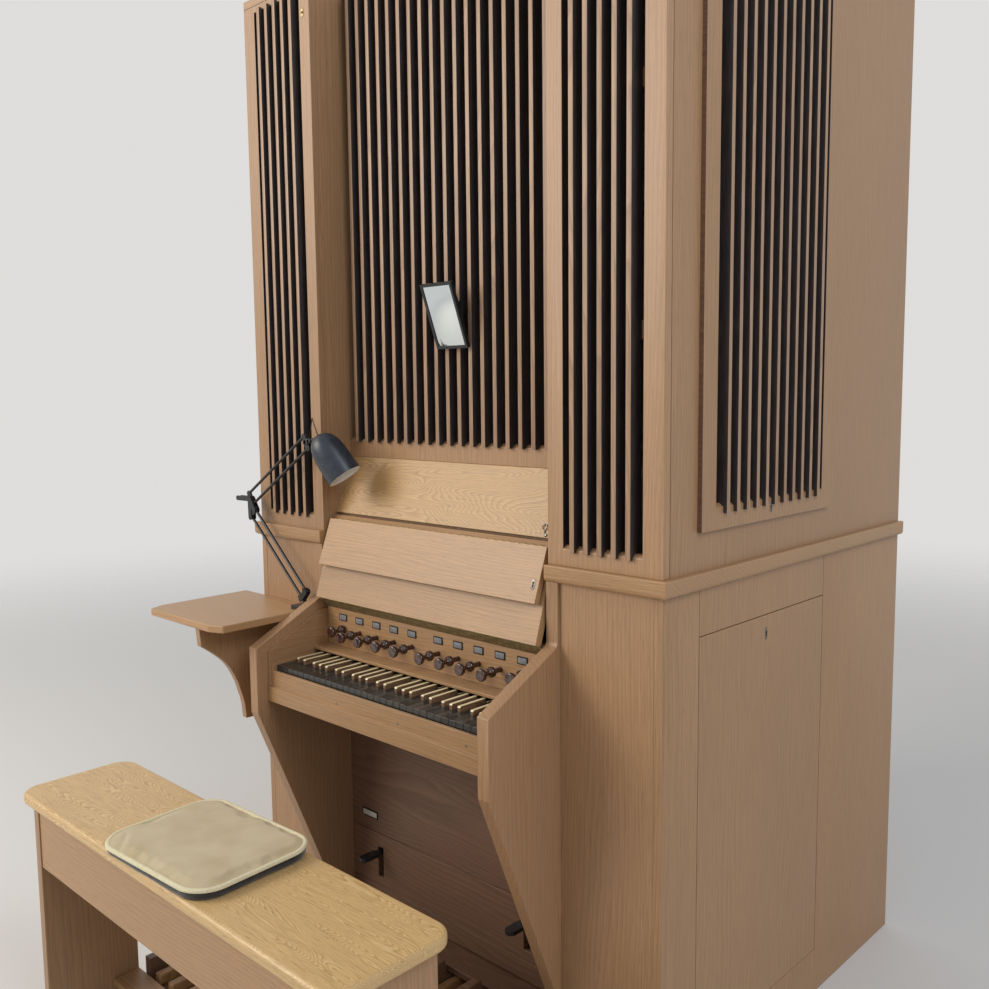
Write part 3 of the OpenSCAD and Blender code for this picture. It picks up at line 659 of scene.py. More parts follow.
def plain(work, name):
    """the plain mesh of a bmesh, which is used up"""
    mesh = bpy.data.meshes.new(name)
    bmesh.ops.recalc_face_normals(work, faces=work.faces)
    work.to_mesh(mesh)
    work.free()
    smooth_by_angle(mesh)
    return mesh


def piece(name, work, body, *materials, slot=None):
    """a finished piece from a bmesh, riding on its body"""
    made = placed(name, plain(work, name))
    show(made, body, *materials)
    print(f"{name}: {len(made.data.polygons)} faces")
    return made


# %% [markdown]
# ## Slats
#
# Every slat is a planed oak strip that stands before its frame and laps over the rails, with a
# tongue behind it in the opening. Its face is lacquered, and its sides carry a black painted
# shade, so that from the room the slats read as pale lines on the dark. The CAD row gives each
# slat's place; the tree plants the same strip on all of them and gives each its own tone.

# %% Slat rows
# how far a slat stands out of its frame and how far it laps over it, by its depth, in metres
SLAT_KINDS = {0.037: (0.009, 0.005), 0.04: (0.012, 0.002), 0.03: (0.009, 0.013)}
SILL_RISE, SILL_RUN = 0.008, 0.010
SLAT_EASE = 0.0012


def slat_stock(name, width, depth, height, outward):
    """one slat on its origin at the frame's face, with the distance that it stands out"""
    out, lap = SLAT_KINDS[round(depth, 4)]
    back, foot = out - depth, lap + SILL_RISE
    side = [(out, 0), (0, 0), (0, lap), (-SILL_RUN, foot), (back, foot),
            (back, height - lap), (0, height - lap), (0, height), (out, height)]
    work, across = bmesh.new(), Vector((0, 0, 1)).cross(outward)
    ends = [[work.verts.new(across * x + outward * d + Vector((0, 0, z))) for d, z in side]
            for x in (-width / 2, width / 2)]
    skin(work, ends)
    for end in ends:
        work.faces.new(end)
    front = [edge for edge in work.edges if all(v.co.dot(outward) > out - 1e-6 for v in edge.verts)]
    bmesh.ops.bevel(work, geom=front, offset=SLAT_EASE, segments=2, affect="EDGES", profile=0.5)
    return plain(work, name), out


def islands(node):
    """the box of each separate solid in a CAD node, as (lowest corner, highest corner)"""
    work = bmesh.new()
    work.from_mesh(frame["nodes"][node].data)
    bmesh.ops.remove_doubles(work, verts=work.verts, dist=WELD_DISTANCE)
    left, boxes = set(work.verts), []
    while left:
        stack, group = [left.pop()], []
        while stack:
            here = stack.pop()
            group.append(here.co.copy())
            for edge in here.link_edges:
                other = edge.other_vert(here)
                if other in left:
                    left.remove(other)
                    stack.append(other)
        boxes.append((Vector(map(min, zip(*group))), Vector(map(max, zip(*group)))))
    work.free()
    return sorted(boxes, key=lambda b: tuple(b[0]))


def slat_row(name, node, seed, along_front):
    """one planted row for each size and side of slat in a CAD node"""
    kinds = {}
    for low, high in islands(node):
        outward = (0, -1, 0) if along_front else (math.copysign(1, low.x), 0, 0)
        size = tuple(round(c, 4) for c in high - low)
        kinds.setdefault((size, outward), []).append((low, high))
    for number, ((size, outward), boxes) in enumerate(kinds.items()):
        outward = Vector(outward)
        width, depth = (size[0], size[1]) if along_front else (size[1], size[0])
        stock, out = slat_stock(name, width, depth, size[2], outward)
        points = []
        for low, high in boxes:
            face = (low + high) / 2 + outward * (depth / 2 - out)
            points.append(((face.x, face.y, low.z), (0, 0, 1)))
        made = rows(f"{name}_{number}", stock, points, body_of(node), OAK_SLAT, seed=seed + number)
        # the sides, back and foot of each slat take the black painted shade
        made.data.materials.append(BLACK_PAINTED_SHADE)
        for face in made.data.polygons:
            face.material_index = 0 if face.normal.dot(outward) > 0.5 else 1
        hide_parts(node)


slat_row("front_slat_row", "front_slats", 11, True)
slat_row("side_slat_row", "side_grille_slats", 31, False)

# %% [markdown]
# ## Screws and hinges
#
# A countersunk screw head is a flat disc with a straight slot. It is modelled as two half discs
# with a gap between them on a dark bottom, and each is planted with a random turn, as hand-set
# screws end up. The lid hangs on a long brass piano hinge, and its upper leaf folds on a second
# one. The knuckles of a piano hinge belong to its two leaves by turns, so every second one is
# planted.

# %% Screw heads
def screw_head(radius):
    """a slotted head, standing 0.3 mm proud of the surface at its origin"""
    buried, rim, slot_floor, crown = -0.0004, 0.0001, 0.00012, 0.00035
    disc_radius, crown_share, half_arc = radius * 0.97, 0.93, 1.42
    work = bmesh.new()
    turned(work, [(0, buried), (disc_radius, buried), (disc_radius, slot_floor), (0, slot_floor)], steps=16)
    for side in (-1, 1):
        arc = [(side * radius * math.cos(a), radius * math.sin(a))
               for a in np.linspace(-half_arc, half_arc, 9)]
        low = [work.verts.new((x, y, rim)) for x, y in arc]
        high = [work.verts.new((x * crown_share, y * crown_share, crown)) for x, y in arc]
        work.faces.new(high)
        work.faces.new(low)
        skin(work, [low, high])
    return plain(work, "screw_head")


def screws(name, places, body, finish=BRASS, radius=0.0028):
    """a screw head at each (place, direction), each with a turn of its own"""
    rows(name, screw_head(radius), places, body, finish, spin=1.0, seed=5)


# %% The lid's hinges
CASE = body_of("lid_well")
PIVOT = Vector((0, -0.603, 1.0225))
LID_TILT = math.atan(0.5)
ALONG = Vector((0, math.cos(LID_TILT), math.sin(LID_TILT)))
DOWN = Vector((0, math.sin(LID_TILT), -math.cos(LID_TILT)))
# faces nearer to the pivot than this belong to the hinge's pin
PIN_REACH = 0.0034
KNUCKLE_PITCH = 0.0125

well = eased("lid_well", OAK_INSIDE, 0.6)
well.data.materials.append(BRASS)
for face in well.data.polygons:
    offset = face.center - PIVOT
    if math.hypot(offset.y, offset.z) < PIN_REACH:
        face.material_index = 1


def hinge_strip(name, start, down, outward, body, half, width, thick=0.0012, pitch=0.06):
    """a brass leaf and its row of screws; start is the leaf's top middle, on the wood"""
    across = Vector((1, 0, 0))
    matrix = standing(across, down, outward, start)
    leaf = drawn((block, (-half, 0.0, -0.0002), (half, width, thick), 0.0003, 0, matrix))
    piece(name, leaf, body, BRASS)
    count = int(2 * half / pitch)
    middle = start + down * width * 0.58 + outward * thick
    steps = [(k - (count - 1) / 2) * pitch for k in range(count)]
    points = [(tuple(middle + across * step), tuple(outward)) for step in steps]
    screws(name + "_screws", points, body)


def knuckles(name, place, body, half, radius):
    """every second knuckle of a piano hinge, along X"""
    reach = KNUCKLE_PITCH * 0.47
    profile = [(0, -reach), (radius, -reach), (radius, reach), (0, reach)]
    barrel = drawn((turned, profile, (0, 0, 0), (0, 0, 1), 20))
    count = int(half / KNUCKLE_PITCH)
    points = [((-half + KNUCKLE_PITCH * (2 * k + 0.5), place.y, place.z), (1, 0, 0)) for k in range(count)]
    rows(name, plain(barrel, name), points, body, BRASS)


hinge_strip("well_hinge_leaf", PIVOT + ALONG * 0.003 + DOWN * 0.0008, DOWN, -ALONG, CASE, 0.399, 0.027)
knuckles("well_hinge_knuckles", PIVOT, CASE, 0.4, 0.0036)

# %% [markdown]
# The lid stands open at 134 degrees, so its fittings sit on sloping wood. One helper finds the
# largest flat face of a node towards a direction, and another the point of it at an X and a Z.

# %% Fold hinge
ROUGHLY_ALIKE = 0.6
FRONT_AND_UP = (0, -1, 0.2)


def widest_face(node, direction):
    """(a point, the outward normal) of a node's largest plane that faces a direction"""
    mesh, want, best = frame["nodes"][node].data, Vector(direction).normalized(), {}
    for face in mesh.polygons:
        if face.normal.dot(want) > ROUGHLY_ALIKE:
            key = tuple(round(c, 2) for c in face.normal) + (round(face.center.dot(face.normal), 3),)
            row = best.setdefault(key, [0.0, face.center.copy(), face.normal.copy()])
            row[0] += face.area
    area, point, normal = max(best.values(), key=lambda row: row[0])
    print(node, "plane of", round(area, 3), "m2, normal", [round(c, 3) for c in normal])
    return point, normal


def on_plane(point, normal, x, z):
    """the point of a plane at a given X and Z"""
    return Vector((x, point.y - (normal.x * (x - point.x) + normal.z * (z - point.z)) / normal.y, z))


LOWER_LEAF, UPPER_LEAF = body_of("lid_lower_leaf"), body_of("lid_upper_leaf")
FOLD = Vector((0, -0.5562, 1.2374))
knuckles("fold_hinge_knuckles", FOLD, LOWER_LEAF, 0.392, 0.0031)
leaf_at, leaf_normal = widest_face("lid_upper_leaf", FRONT_AND_UP)

# %% [markdown]
# ## Stop knobs
#
# The knobs are turned from rosewood under a gloss lacquer: a broad head with a softly dished
# face, a thin neck, a ring, and a shank that runs back through the jamb. Eight stand drawn out
# and the two end ones are pushed in. Each is its own body.

# %% Stop knobs
# (radius, distance from the face of the head), in metres
KNOB_HEAD = [(0, 0.0010), (0.007, 0.0008), (0.0105, 0.0002), (0.0122, 0), (0.0136, 0.0006), (0.0146, 0.002),
             (0.015, 0.004), (0.0149, 0.0072), (0.0144, 0.0096), (0.0132, 0.0118), (0.0112, 0.0138)]
KNOB_NECK = [(0.0086, 0.0158), (0.007, 0.0184), (0.0062, 0.0220), (0.006, 0.025), (0.0067, 0.0285)]
KNOB_RING = [(0.009, 0.0315), (0.0115, 0.0338), (0.0127, 0.0362), (0.0131, 0.0392), (0.0130, 0.0418),
             (0.0122, 0.044), (0.0104, 0.0456)]
KNOB_SHANK = [(0.0065, 0.0462), (0.0065, 0.134), (0, 0.134)]
KNOB = KNOB_HEAD + KNOB_NECK + KNOB_RING + KNOB_SHANK
BACKWARDS = (0, 1, 0)
for number in range(1, 11):
    node = f"stop_knob_{number}"
    low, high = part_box(node)
    middle = ((low[0] + high[0]) / 2, low[1], (low[2] + high[2]) / 2)
    shape = drawn((turned, KNOB, middle, BACKWARDS, 40))
    knob = piece(node + "_turned", shape, body_of(node), ROSEWOOD, slot=SLOT_OF[node])
    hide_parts(node)

# %% Bare stop labels, framed and glued above the knobs
LABEL_FRAME = 0.0026
labels = bmesh.new()
for low, high in islands("stop_labels"):
    block(labels, low, high, 0.0004, 0)
    block(labels, (low.x + LABEL_FRAME, low.y - 0.0002, low.z + LABEL_FRAME),
          (high.x - LABEL_FRAME, low.y + 0.001, high.z - LABEL_FRAME), 0.0002, 1)
made = piece("stop_labels_framed", labels, CASE, DARK_RIMS_AND_HOLE_SHADE, LABEL, slot=SLOT_OF["stop_labels"])
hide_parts("stop_labels")

# %% [markdown]
# ## Mirror and lamp
#
# The music mirror is a thin steel frame with silvered glass. The lamp is an enamelled work
# lamp: two pairs of round rods, the rods of a pair a finger or two apart, and a spun steel shade
# with a domed back, blue-black outside and white inside. Frame and rods are CAD solids. The glass
# is a thin block, and the shade is turned, because a spun shade is the same all the way round.

# %% Mirror
for node in ("mirror_arm", "mirror", "lamp_foot", "lamp_post", "lamp_lower_arm", "lamp_upper_arm"):
    eased(node, ENAMEL, 0.5, 2)
MIRROR_LEAN = math.radians(20)
MIRROR_MIDDLE = Vector((0.036, -0.532, 1.771))
GLASS_HALF_WIDTH, GLASS_HALF_HEIGHT = 0.0468, 0.0748
across, outward = Vector((1, 0, 0)), Vector((0, -math.cos(MIRROR_LEAN), -math.sin(MIRROR_LEAN)))
frame_face = standing(across, outward.cross(across), outward, MIRROR_MIDDLE + outward * 0.0045)
glass = drawn((block, (-GLASS_HALF_WIDTH, -GLASS_HALF_HEIGHT, -0.0002),
               (GLASS_HALF_WIDTH, GLASS_HALF_HEIGHT, 0.0004), 0.0001, 0, frame_face))
piece("mirror_glass", glass, body_of("mirror"), SILVERED, slot=SLOT_OF["mirror"])

# %% Lamp head
LAMP_TOP = Vector((-0.372, -0.622, 1.471))
KNUCKLE = Vector((-0.426, -0.622, 1.452))
SHADE_AXIS = Vector((0.5188, 0.2609, -0.8141)).normalized()
# (radius, distance from the top along the axis), in metres, out over the dome and back inside
SHADE_DOME = [(0, 0), (0.006, 0.0001), (0.012, 0.0009), (0.018, 0.0027), (0.024, 0.0066), (0.0295, 0.012),
              (0.0345, 0.0186), (0.0392, 0.028), (0.0428, 0.04), (0.0451, 0.056), (0.0464, 0.073)]
SHADE_SKIRT = [(0.0475, 0.1), (0.048, 0.1305), (0.0478, 0.132), (0.0468, 0.132), (0.0464, 0.1305),
               (0.0459, 0.1)]
SHADE_LINING = [(0.0449, 0.073), (0.0437, 0.056), (0.0414, 0.04), (0.0379, 0.029), (0.0332, 0.02),
                (0.0284, 0.0136), (0.0232, 0.0084), (0.0175, 0.0043), (0.0115, 0.002), (0, 0.002)]
CROWN_RADIUS = 0.012
shade = drawn((turned, SHADE_DOME + SHADE_SKIRT + SHADE_LINING, LAMP_TOP, SHADE_AXIS, 64))
for face in shade.faces:
    out = face.calc_center_median() - LAMP_TOP
    out -= SHADE_AXIS * out.dot(SHADE_AXIS)
    in_crown = out.length < CROWN_RADIUS and face.normal.dot(SHADE_AXIS) > 0
    if face.normal.dot(out) < 0 or in_crown:
        face.material_index = 1
HEAD = body_of("lamp_head")
shade = piece("lamp_shade", shade, HEAD, SHADE_PAINT, SHADE_INSIDE, slot=SLOT_OF["lamp_head"])
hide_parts("lamp_head")

# %% Lamp head's joint, bail and bulb holder
elbow = KNUCKLE + Vector((0.02, 0, 0.005))
bail_top = Vector((-0.396, -0.622, 1.518))
pin = [(0, -0.007), (0.003, -0.007), (0.003, 0.007), (0, 0.007)]
holder = [(0, 0.001), (0.014, 0.001), (0.014, 0.045), (0.0125, 0.046), (0, 0.046)]


def washer(low, high, ease):
    """the profile of a disc of 7 mm radius with eased rims, between two heights"""
    return [(0, low), (0.0068, low), (0.007, low + ease), (0.007, high - ease), (0.0068, high), (0, high)]


lean = (elbow - KNUCKLE).normalized()
along_joint = standing(lean, Vector((0, 1, 0)), lean.cross(Vector((0, 1, 0))), KNUCKLE)
bail = [KNUCKLE + Vector((0.014, 0, 0.006)), bail_top, LAMP_TOP + Vector((0.002, 0, -0.004))]
fittings = [(rod, [elbow, LAMP_TOP + Vector((0.006, 0, -0.005))], 0.005),
            (rod, bail, 0.0015),
            (turned, washer(-0.007, 0.007, 0.0005), elbow, BACKWARDS),
            (turned, pin, KNUCKLE, BACKWARDS),
            (turned, holder, LAMP_TOP, SHADE_AXIS)]
for low in (-0.007, 0.004):
    high = low + 0.003
    fittings.append((turned, washer(low, high, 0.0003), KNUCKLE, BACKWARDS))
    far_corner = ((elbow - KNUCKLE).length, high, 0.007)
    fittings.append((block, (0, low, -0.007), far_corner, 0.0003, 0, along_joint))
head = piece("lamp_head_fittings", drawn(*fittings), HEAD, ENAMEL, slot=SLOT_OF["lamp_head"])
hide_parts("lamp_head")
BULB_RADIUS, BULB_MIDDLE = 0.024, 0.066
globe = [(BULB_RADIUS * math.sin(a), BULB_MIDDLE - BULB_RADIUS * math.cos(a))
         for a in np.linspace(0.62, math.pi - 0.05, 14)]
bulb = [(0, 0.0425), (0.012, 0.0455), *globe, (0, BULB_MIDDLE + BULB_RADIUS)]
piece("lamp_bulb", drawn((turned, bulb, LAMP_TOP, SHADE_AXIS)), HEAD, BULB)

# %% [markdown]
# ## Locks, screws and small fittings
#
# Each keyhole has a small nickelled plate: one on the upper leaf of the lid, one on each side
# grille frame and one on each access panel. The lid's key hangs on a screw at the right end of
# the desk panel. The key slip is held by three screws, a bare plate is fixed to the kneeboard and
# a brass catch to the front frame. All of them are drawn straight onto the wood behind them, in
# the plane of a face of the CAD solids, so that none hangs in the air.

# %% Keyholes
def facing_matrix(place, outward):
    """local X to the right, Y up and Z outwards from a surface, seen from in front of it"""
    outward = Vector(outward).normalized()
    right = Vector((0, 0, 1)).cross(outward).normalized()
    return standing(right, outward.cross(right), outward, place)


def plate_with_ends(work, width, height, thick, matrix):
    """a flat plate with round ends, standing upright on a surface and let into it by 0.3 mm"""
    r, half = width / 2, height / 2 - width / 2
    rim = [(r * math.cos(a), half + r * math.sin(a)) for a in np.linspace(0, math.pi, 13)]
    rim += [(-x, -y) for x, y in rim]
    rings = [[work.verts.new(matrix @ Vector((x * share, y * share, z))) for x, y in rim]
             for share, z in ((1, -0.0003), (1, thick * 0.6), (0.93, thick))]
    skin(work, rings)
    work.faces.new(rings[0])
    work.faces.new(rings[-1])


def keyhole(name, place, outward, body, width=0.011, height=0.026):
    """a plate with a keyhole drawn on it in dark painted shade, and a pin near each end"""
    matrix = facing_matrix(place, outward)
    out = matrix.to_3x3() @ Vector((0, 0, 1))
    hole_radius, floor, proud = 0.0031, 0.0007, 0.00125
    work = bmesh.new()
    plate_with_ends(work, width, height, 0.0011, matrix)
    # the hole and its slot: dark painted shade standing on the plate
    turned(work, [(0, floor), (hole_radius, floor), (hole_radius, proud), (0, proud)],
           matrix @ Vector((0, 0.003, 0)), out, 20, 1)
    block(work, (-0.0017, -0.0075, floor), (0.0017, 0.002, 0.00122), 0.0, 1, matrix)
    piece(name, work, body, NICKEL, DARK_RIMS_AND_HOLE_SHADE)
    pin_height = height / 2 - 0.0035
    pins = [(tuple(matrix @ Vector((0, side * pin_height, 0.0009))), tuple(out)) for side in (-1, 1)]
    screws(name + "_pins", pins, body, NICKEL, 0.0013)


keyhole("lid_keyhole", on_plane(leaf_at, leaf_normal, 0.379, 1.160), leaf_normal, UPPER_LEAF)
grille_x, panel_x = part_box("side_grille_frames")[1][0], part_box("access_panels")[1][0]
for side, label in ((-1, "left"), (1, "right")):
    keyhole(f"{label}_grille_keyhole", (side * grille_x, -0.173, 1.3175), (side, 0, 0), CASE, 0.009, 0.022)
    keyhole(f"{label}_panel_keyhole", (side * panel_x, -0.164, 1.022), (side, 0, 0), CASE, 0.010, 0.030)

# %% The key on its screw
desk_at, desk_normal = widest_face("desk_panel", FRONT_AND_UP)
hang = facing_matrix(on_plane(desk_at, desk_normal, 0.354, 1.284), desk_normal)
hang = hang @ Matrix.Rotation(math.radians(12), 4, "Z")
BOW_RADIUS, KEY_OFF_WOOD = 0.0066, 0.0026
bow = [hang @ Vector((0.0062 * math.sin(a), BOW_RADIUS * math.cos(a) - BOW_RADIUS, KEY_OFF_WOOD))
       for a in np.linspace(0, math.tau, 25)]
shank = [hang @ Vector((0, y, KEY_OFF_WOOD)) for y in (-0.0128, -0.029)]
hook = [(0, -0.001), (0.0011, -0.001), (0.0011, 0.0044), (0.0026, 0.0047), (0.0026, 0.0055), (0.0018, 0.006),
        (0, 0.006)]
key = drawn((rod, bow, 0.0012, 8),
            (rod, shank, 0.0015, 10),
            (block, (0.0008, -0.0286, 0.002), (0.0062, -0.0226, 0.0032), 0.0002, 0, hang),
            (turned, hook, hang @ Vector((0, -0.0016, 0)), desk_normal, 16))
piece("lid_key", key, CASE, NICKEL)

# %% Screws in the slip, bare plate and catch
FORWARDS = (0, -1, 0)
SLIP_FRONT = -0.777
SLIP_SCREWS = ((-0.1176, 0.822), (0.1123, 0.8245), (0.3375, 0.826))
screws("slip_screws", [((x, SLIP_FRONT, z), FORWARDS) for x, z in SLIP_SCREWS], CASE, NICKEL, 0.003)
knee_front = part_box("kneeboards")[0][1]
bare = drawn(
    (block, (-0.359, knee_front - 0.0024, 0.382), (-0.293, knee_front + 0.0004, 0.404), 0.0006, 0),
    (block, (-0.3555, knee_front - 0.0028, 0.3855), (-0.2965, knee_front - 0.001, 0.4005), 0.0003, 1),
)
piece("kneeboard_plate", bare, CASE, DARK_RIMS_AND_HOLE_SHADE, LABEL_PALE)
catch_at = (-0.437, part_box("front_frames")[0][1], 2.585)
button = [(0, 0), (0.0034, 0), (0.0034, 0.004), (0.0026, 0.0052), (0, 0.0052)]
catch = drawn((plate_with_ends, 0.011, 0.024, 0.0012, facing_matrix(catch_at, FORWARDS)),
              (turned, button, catch_at, FORWARDS, 20))
piece("front_frame_catch", catch, CASE, BRASS)

# %% [markdown]
# ## Pipes and foot levers
#
# Behind the slats stand plain metal pipes, which show as grey glints, and the two foot levers are
# dark enamelled iron. The CAD solids have their shapes, so they only get their finish and a
# small radius along their edges.

# %% Pipes and levers
eased("pipes", TIN, 0.3, 1)
for node in ("foot_lever_left", "foot_lever_right"):
    eased(node, ENAMEL, 1.4, 3)

# %% [markdown]
# ## The bench pad
#
# The pad is a slab of black felted foam with a woven cover sewn round its upper edge by a pale
# binding. The slab is laid out as a rounded rectangle and remeshed. It is higher on its right
# side, sat down along its front edge, and its rim waves a little. A short cloth simulation with
# a little pressure and slack cloth then swells and ripples the top, while the underside stays on
# the bench. The swelling is held to about a millimetre sideways and along the rim, so that the
# binding, which follows the rim afterwards, closes on it all round.

# %% Pad materials
def woven():
    """coarse cotton weave: thread spacing 1.6 mm, drawn at 3 mm, a scale of 105, so that it shows"""
    made, tree, shader = new_material("woven_cotton_cover", 0.92, Sheen_Weight=0.15)
    where = add(tree, "ShaderNodeTexCoord").outputs["Object"]
    threads = {"Vector": where, "Scale": 105.0, "Distortion": 0.6, "Detail": 1.0}
    warp = add(tree, "ShaderNodeTexWave", {"wave_type": "BANDS", "bands_direction": "X"}, threads)
    weft = add(tree, "ShaderNodeTexWave", {"wave_type": "BANDS", "bands_direction": "Y"}, threads)
    thread = add(tree, "ShaderNodeMath", {"operation": "MULTIPLY"},
                 {0: warp.outputs["Fac"], 1: weft.outputs["Fac"]})
    worn = add(tree, "ShaderNodeTexNoise", None, {"Vector": where, "Scale": 14.0, "Detail": 3.0})
    tint = add(tree, "ShaderNodeValToRGB", {"stops": [(0.3, tone("#D6C298")), (0.7, tone("#E6D5B0"))]},
               {0: worn.outputs["Fac"]})
    dark = add(tree, "ShaderNodeMix", {"data_type": "RGBA", "blend_type": "MULTIPLY"},
               {0: 0.38, 6: tint.outputs[0], 7: thread.outputs[0]})
    tree.links.new(dark.outputs[2], shader.inputs["Base Color"])
    lift = add(tree, "ShaderNodeBump", None,
               {"Strength": 0.5, "Distance": 0.0008, "Height": thread.outputs[0]})
    tree.links.new(lift.outputs[0], shader.inputs["Normal"])
    return made


WOVEN = woven()
BINDING = mottled("pale_cotton_binding", "#CFC6A2", "#DCD4B4", 0.85, 200.0, bump=0.3)


# %% Lay out the pad and simulate it
def rim_line(centre, width, depth, corner, turn, inset=0.0, steps=10):
    """points of a rounded rectangle, anticlockwise"""
    points, r = [], corner - inset
    for k, (sx, sy) in enumerate(((1, 1), (-1, 1), (-1, -1), (1, -1))):
        for j in range(steps + 1):
            a = math.radians(90 * k + 90 * j / steps)
            x = sx * (width / 2 - corner) + r * math.cos(a)
            y = sy * (depth / 2 - corner) + r * math.sin(a)
            points.append((centre[0] + x * math.cos(turn) - y * math.sin(turn),
                           centre[1] + x * math.sin(turn) + y * math.cos(turn)))
    return points


pad_low, pad_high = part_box("bench_pad")
pad_middle = ((pad_low[0] + pad_high[0]) / 2, (pad_low[1] + pad_high[1]) / 2)
PAD = dict(centre=pad_middle, width=0.382, depth=0.287, corner=0.062, turn=math.radians(2.4))
seat = pad_low[2] + 0.0006


def settled(x, y, z):
    """a point of the level slab, moved up or down as the used pad lies; the underside stays"""
    c, s = math.cos(PAD["turn"]), math.sin(PAD["turn"])
    dx, dy = x - PAD["centre"][0], y - PAD["centre"][1]
    u, v = 2 * (dx * c + dy * s) / PAD["width"], 2 * (dy * c - dx * s) / PAD["depth"]
    tilt = 0.0016 * u + 0.0022 * v * abs(v)
    wave = 0.0009 * math.sin(5.2 * v + 1.1) * u + 0.0007 * math.sin(6.4 * u + 0.6) * v
    share = min(1.0, max(0.0, (z - seat) / 0.016))
    return x, y, z + (tilt + wave) * share


work = bmesh.new()
slab_side = ((0.006, 0.0), (0.001, 0.003), (0.0, 0.010), (0.0, 0.0175), (0.003, 0.0212))
rings = [[work.verts.new((x, y, seat + z)) for x, y in rim_line(**PAD, inset=inset)]
         for inset, z in slab_side]
skin(work, rings)
work.faces.new(rings[0][::-1])
work.faces.new(rings[-1])
pad = placed("bench_cushion", plain(work, "bench_cushion"))
remesh = pad.modifiers.new("remesh", "REMESH")
remesh.mode, remesh.voxel_size = "VOXEL", 0.005
keep_result(pad)
for v in pad.data.vertices:
    v.co = settled(*v.co)


def points_of(mesh):
    """the places of a mesh's points, as an array with a row for each"""
    places = np.empty(len(mesh.vertices) * 3, np.float32)
    mesh.vertices.foreach_get("co", places)
    return places.reshape(-1, 3)


# %% Swell the cover
FREE_ABOVE, HELD_BELOW = 0.0145, 0.011
LAST_STEP = 20
MOST_MOVE, MOST_SIDEWAYS = 0.009, 0.0012
RIM_DROP, RIM_RISE = -0.0004, 0.001
before = points_of(pad.data)
held = pad.vertex_groups.new(name="held")
for v in pad.data.vertices:
    if v.co.z < seat + FREE_ABOVE:
        held.add([v.index], 1.0 if v.co.z < seat + HELD_BELOW else 0.6, "REPLACE")
cloth = pad.modifiers.new("cloth", "CLOTH")
given = cloth.settings
given.quality, given.mass = 6, 0.25
given.tension_stiffness = given.compression_stiffness = 12
given.bending_stiffness = 0.4
given.use_pressure, given.uniform_pressure_force = True, 3.0
given.shrink_min = -0.035
given.vertex_group_mass = "held"
given.effector_weights.gravity = 0.0
cloth.point_cache.frame_start, cloth.point_cache.frame_end = 1, LAST_STEP
for step in range(1, LAST_STEP + 1):
    bpy.context.scene.frame_set(step)
keep_result(pad)
bpy.context.scene.frame_set(1)
move = points_of(pad.data) - before
length = np.linalg.norm(move, axis=1, keepdims=True)
print("cloth moved up to", round(float(length.max()) * 1000, 1), "mm")
move *= np.minimum(1.0, MOST_MOVE / np.maximum(length, 1e-9))
move[:, :2] = np.clip(move[:, :2], -MOST_SIDEWAYS, MOST_SIDEWAYS)
centre, turn = np.array(PAD["centre"]), PAD["turn"]
level = before[:, :2] - centre
u = np.abs(level @ (math.cos(turn), math.sin(turn))) / (PAD["width"] / 2)
v = np.abs(level @ (-math.sin(turn), math.cos(turn))) / (PAD["depth"] / 2)
at_rim = np.clip((np.maximum(u, v) - 0.86) / 0.12, 0, 1)
move[:, 2] -= at_rim * (move[:, 2] - np.clip(move[:, 2], RIM_DROP, RIM_RISE))
pad.data.vertices.foreach_set("co", (before + move).ravel())

# %% Finish the pad
COVER_ABOVE = 0.018
soft = pad.modifiers.new("soft", "SUBSURF")
soft.levels = soft.render_levels = 1
keep_result(pad)
pad.vertex_groups.clear()
smooth_by_angle(pad.data, 60)
show(pad, CASE, FELT, WOVEN)
for face in pad.data.polygons:
    level = settled(face.center.x, face.center.y, seat + COVER_ABOVE)[2]
    face.material_index = 1 if face.center.z > level else 0
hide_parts("bench_pad")
print("pad", len(pad.data.polygons), "faces, top at", round(max(v.co.z for v in pad.data.vertices), 4))

# %% [markdown]
# The binding is a folded tape round the upper edge, 8 mm high on the side. It stands two
# millimetres proud and lies 7 mm over the edge of the cover, so its outline is swept round the rim.

# %% Binding
work = bmesh.new()
outline = [(0.0004, 0.0160), (0.0018, 0.0166), (0.0024, 0.0190), (0.0017, 0.0216), (-0.0004, 0.0234),
           (-0.0034, 0.0240), (-0.0056, 0.0234), (-0.0068, 0.0218), (-0.0074, 0.0190), (-0.0045, 0.0155)]
rings = [[work.verts.new(settled(x, y, seat + z)) for x, y in rim_line(**PAD, inset=-out)]
         for out, z in outline]
skin(work, rings + rings[:1])
binding = piece("bench_pad_binding", work, CASE, BINDING, slot=SLOT_OF["bench_pad"])
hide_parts("bench_pad")

# %% [markdown]
# ## Floor, light and camera
#
# A pale floor that fades out, and an even sky light with one broad lamp from the front left and a
# weaker one from the right: soft enough to show each finish about as its colour is written, and
# uneven enough to tell the sides apart. The camera stands as it did for the photograph, 1.6 m
# above the floor, turned 44 degrees and tipped 6 degrees down.

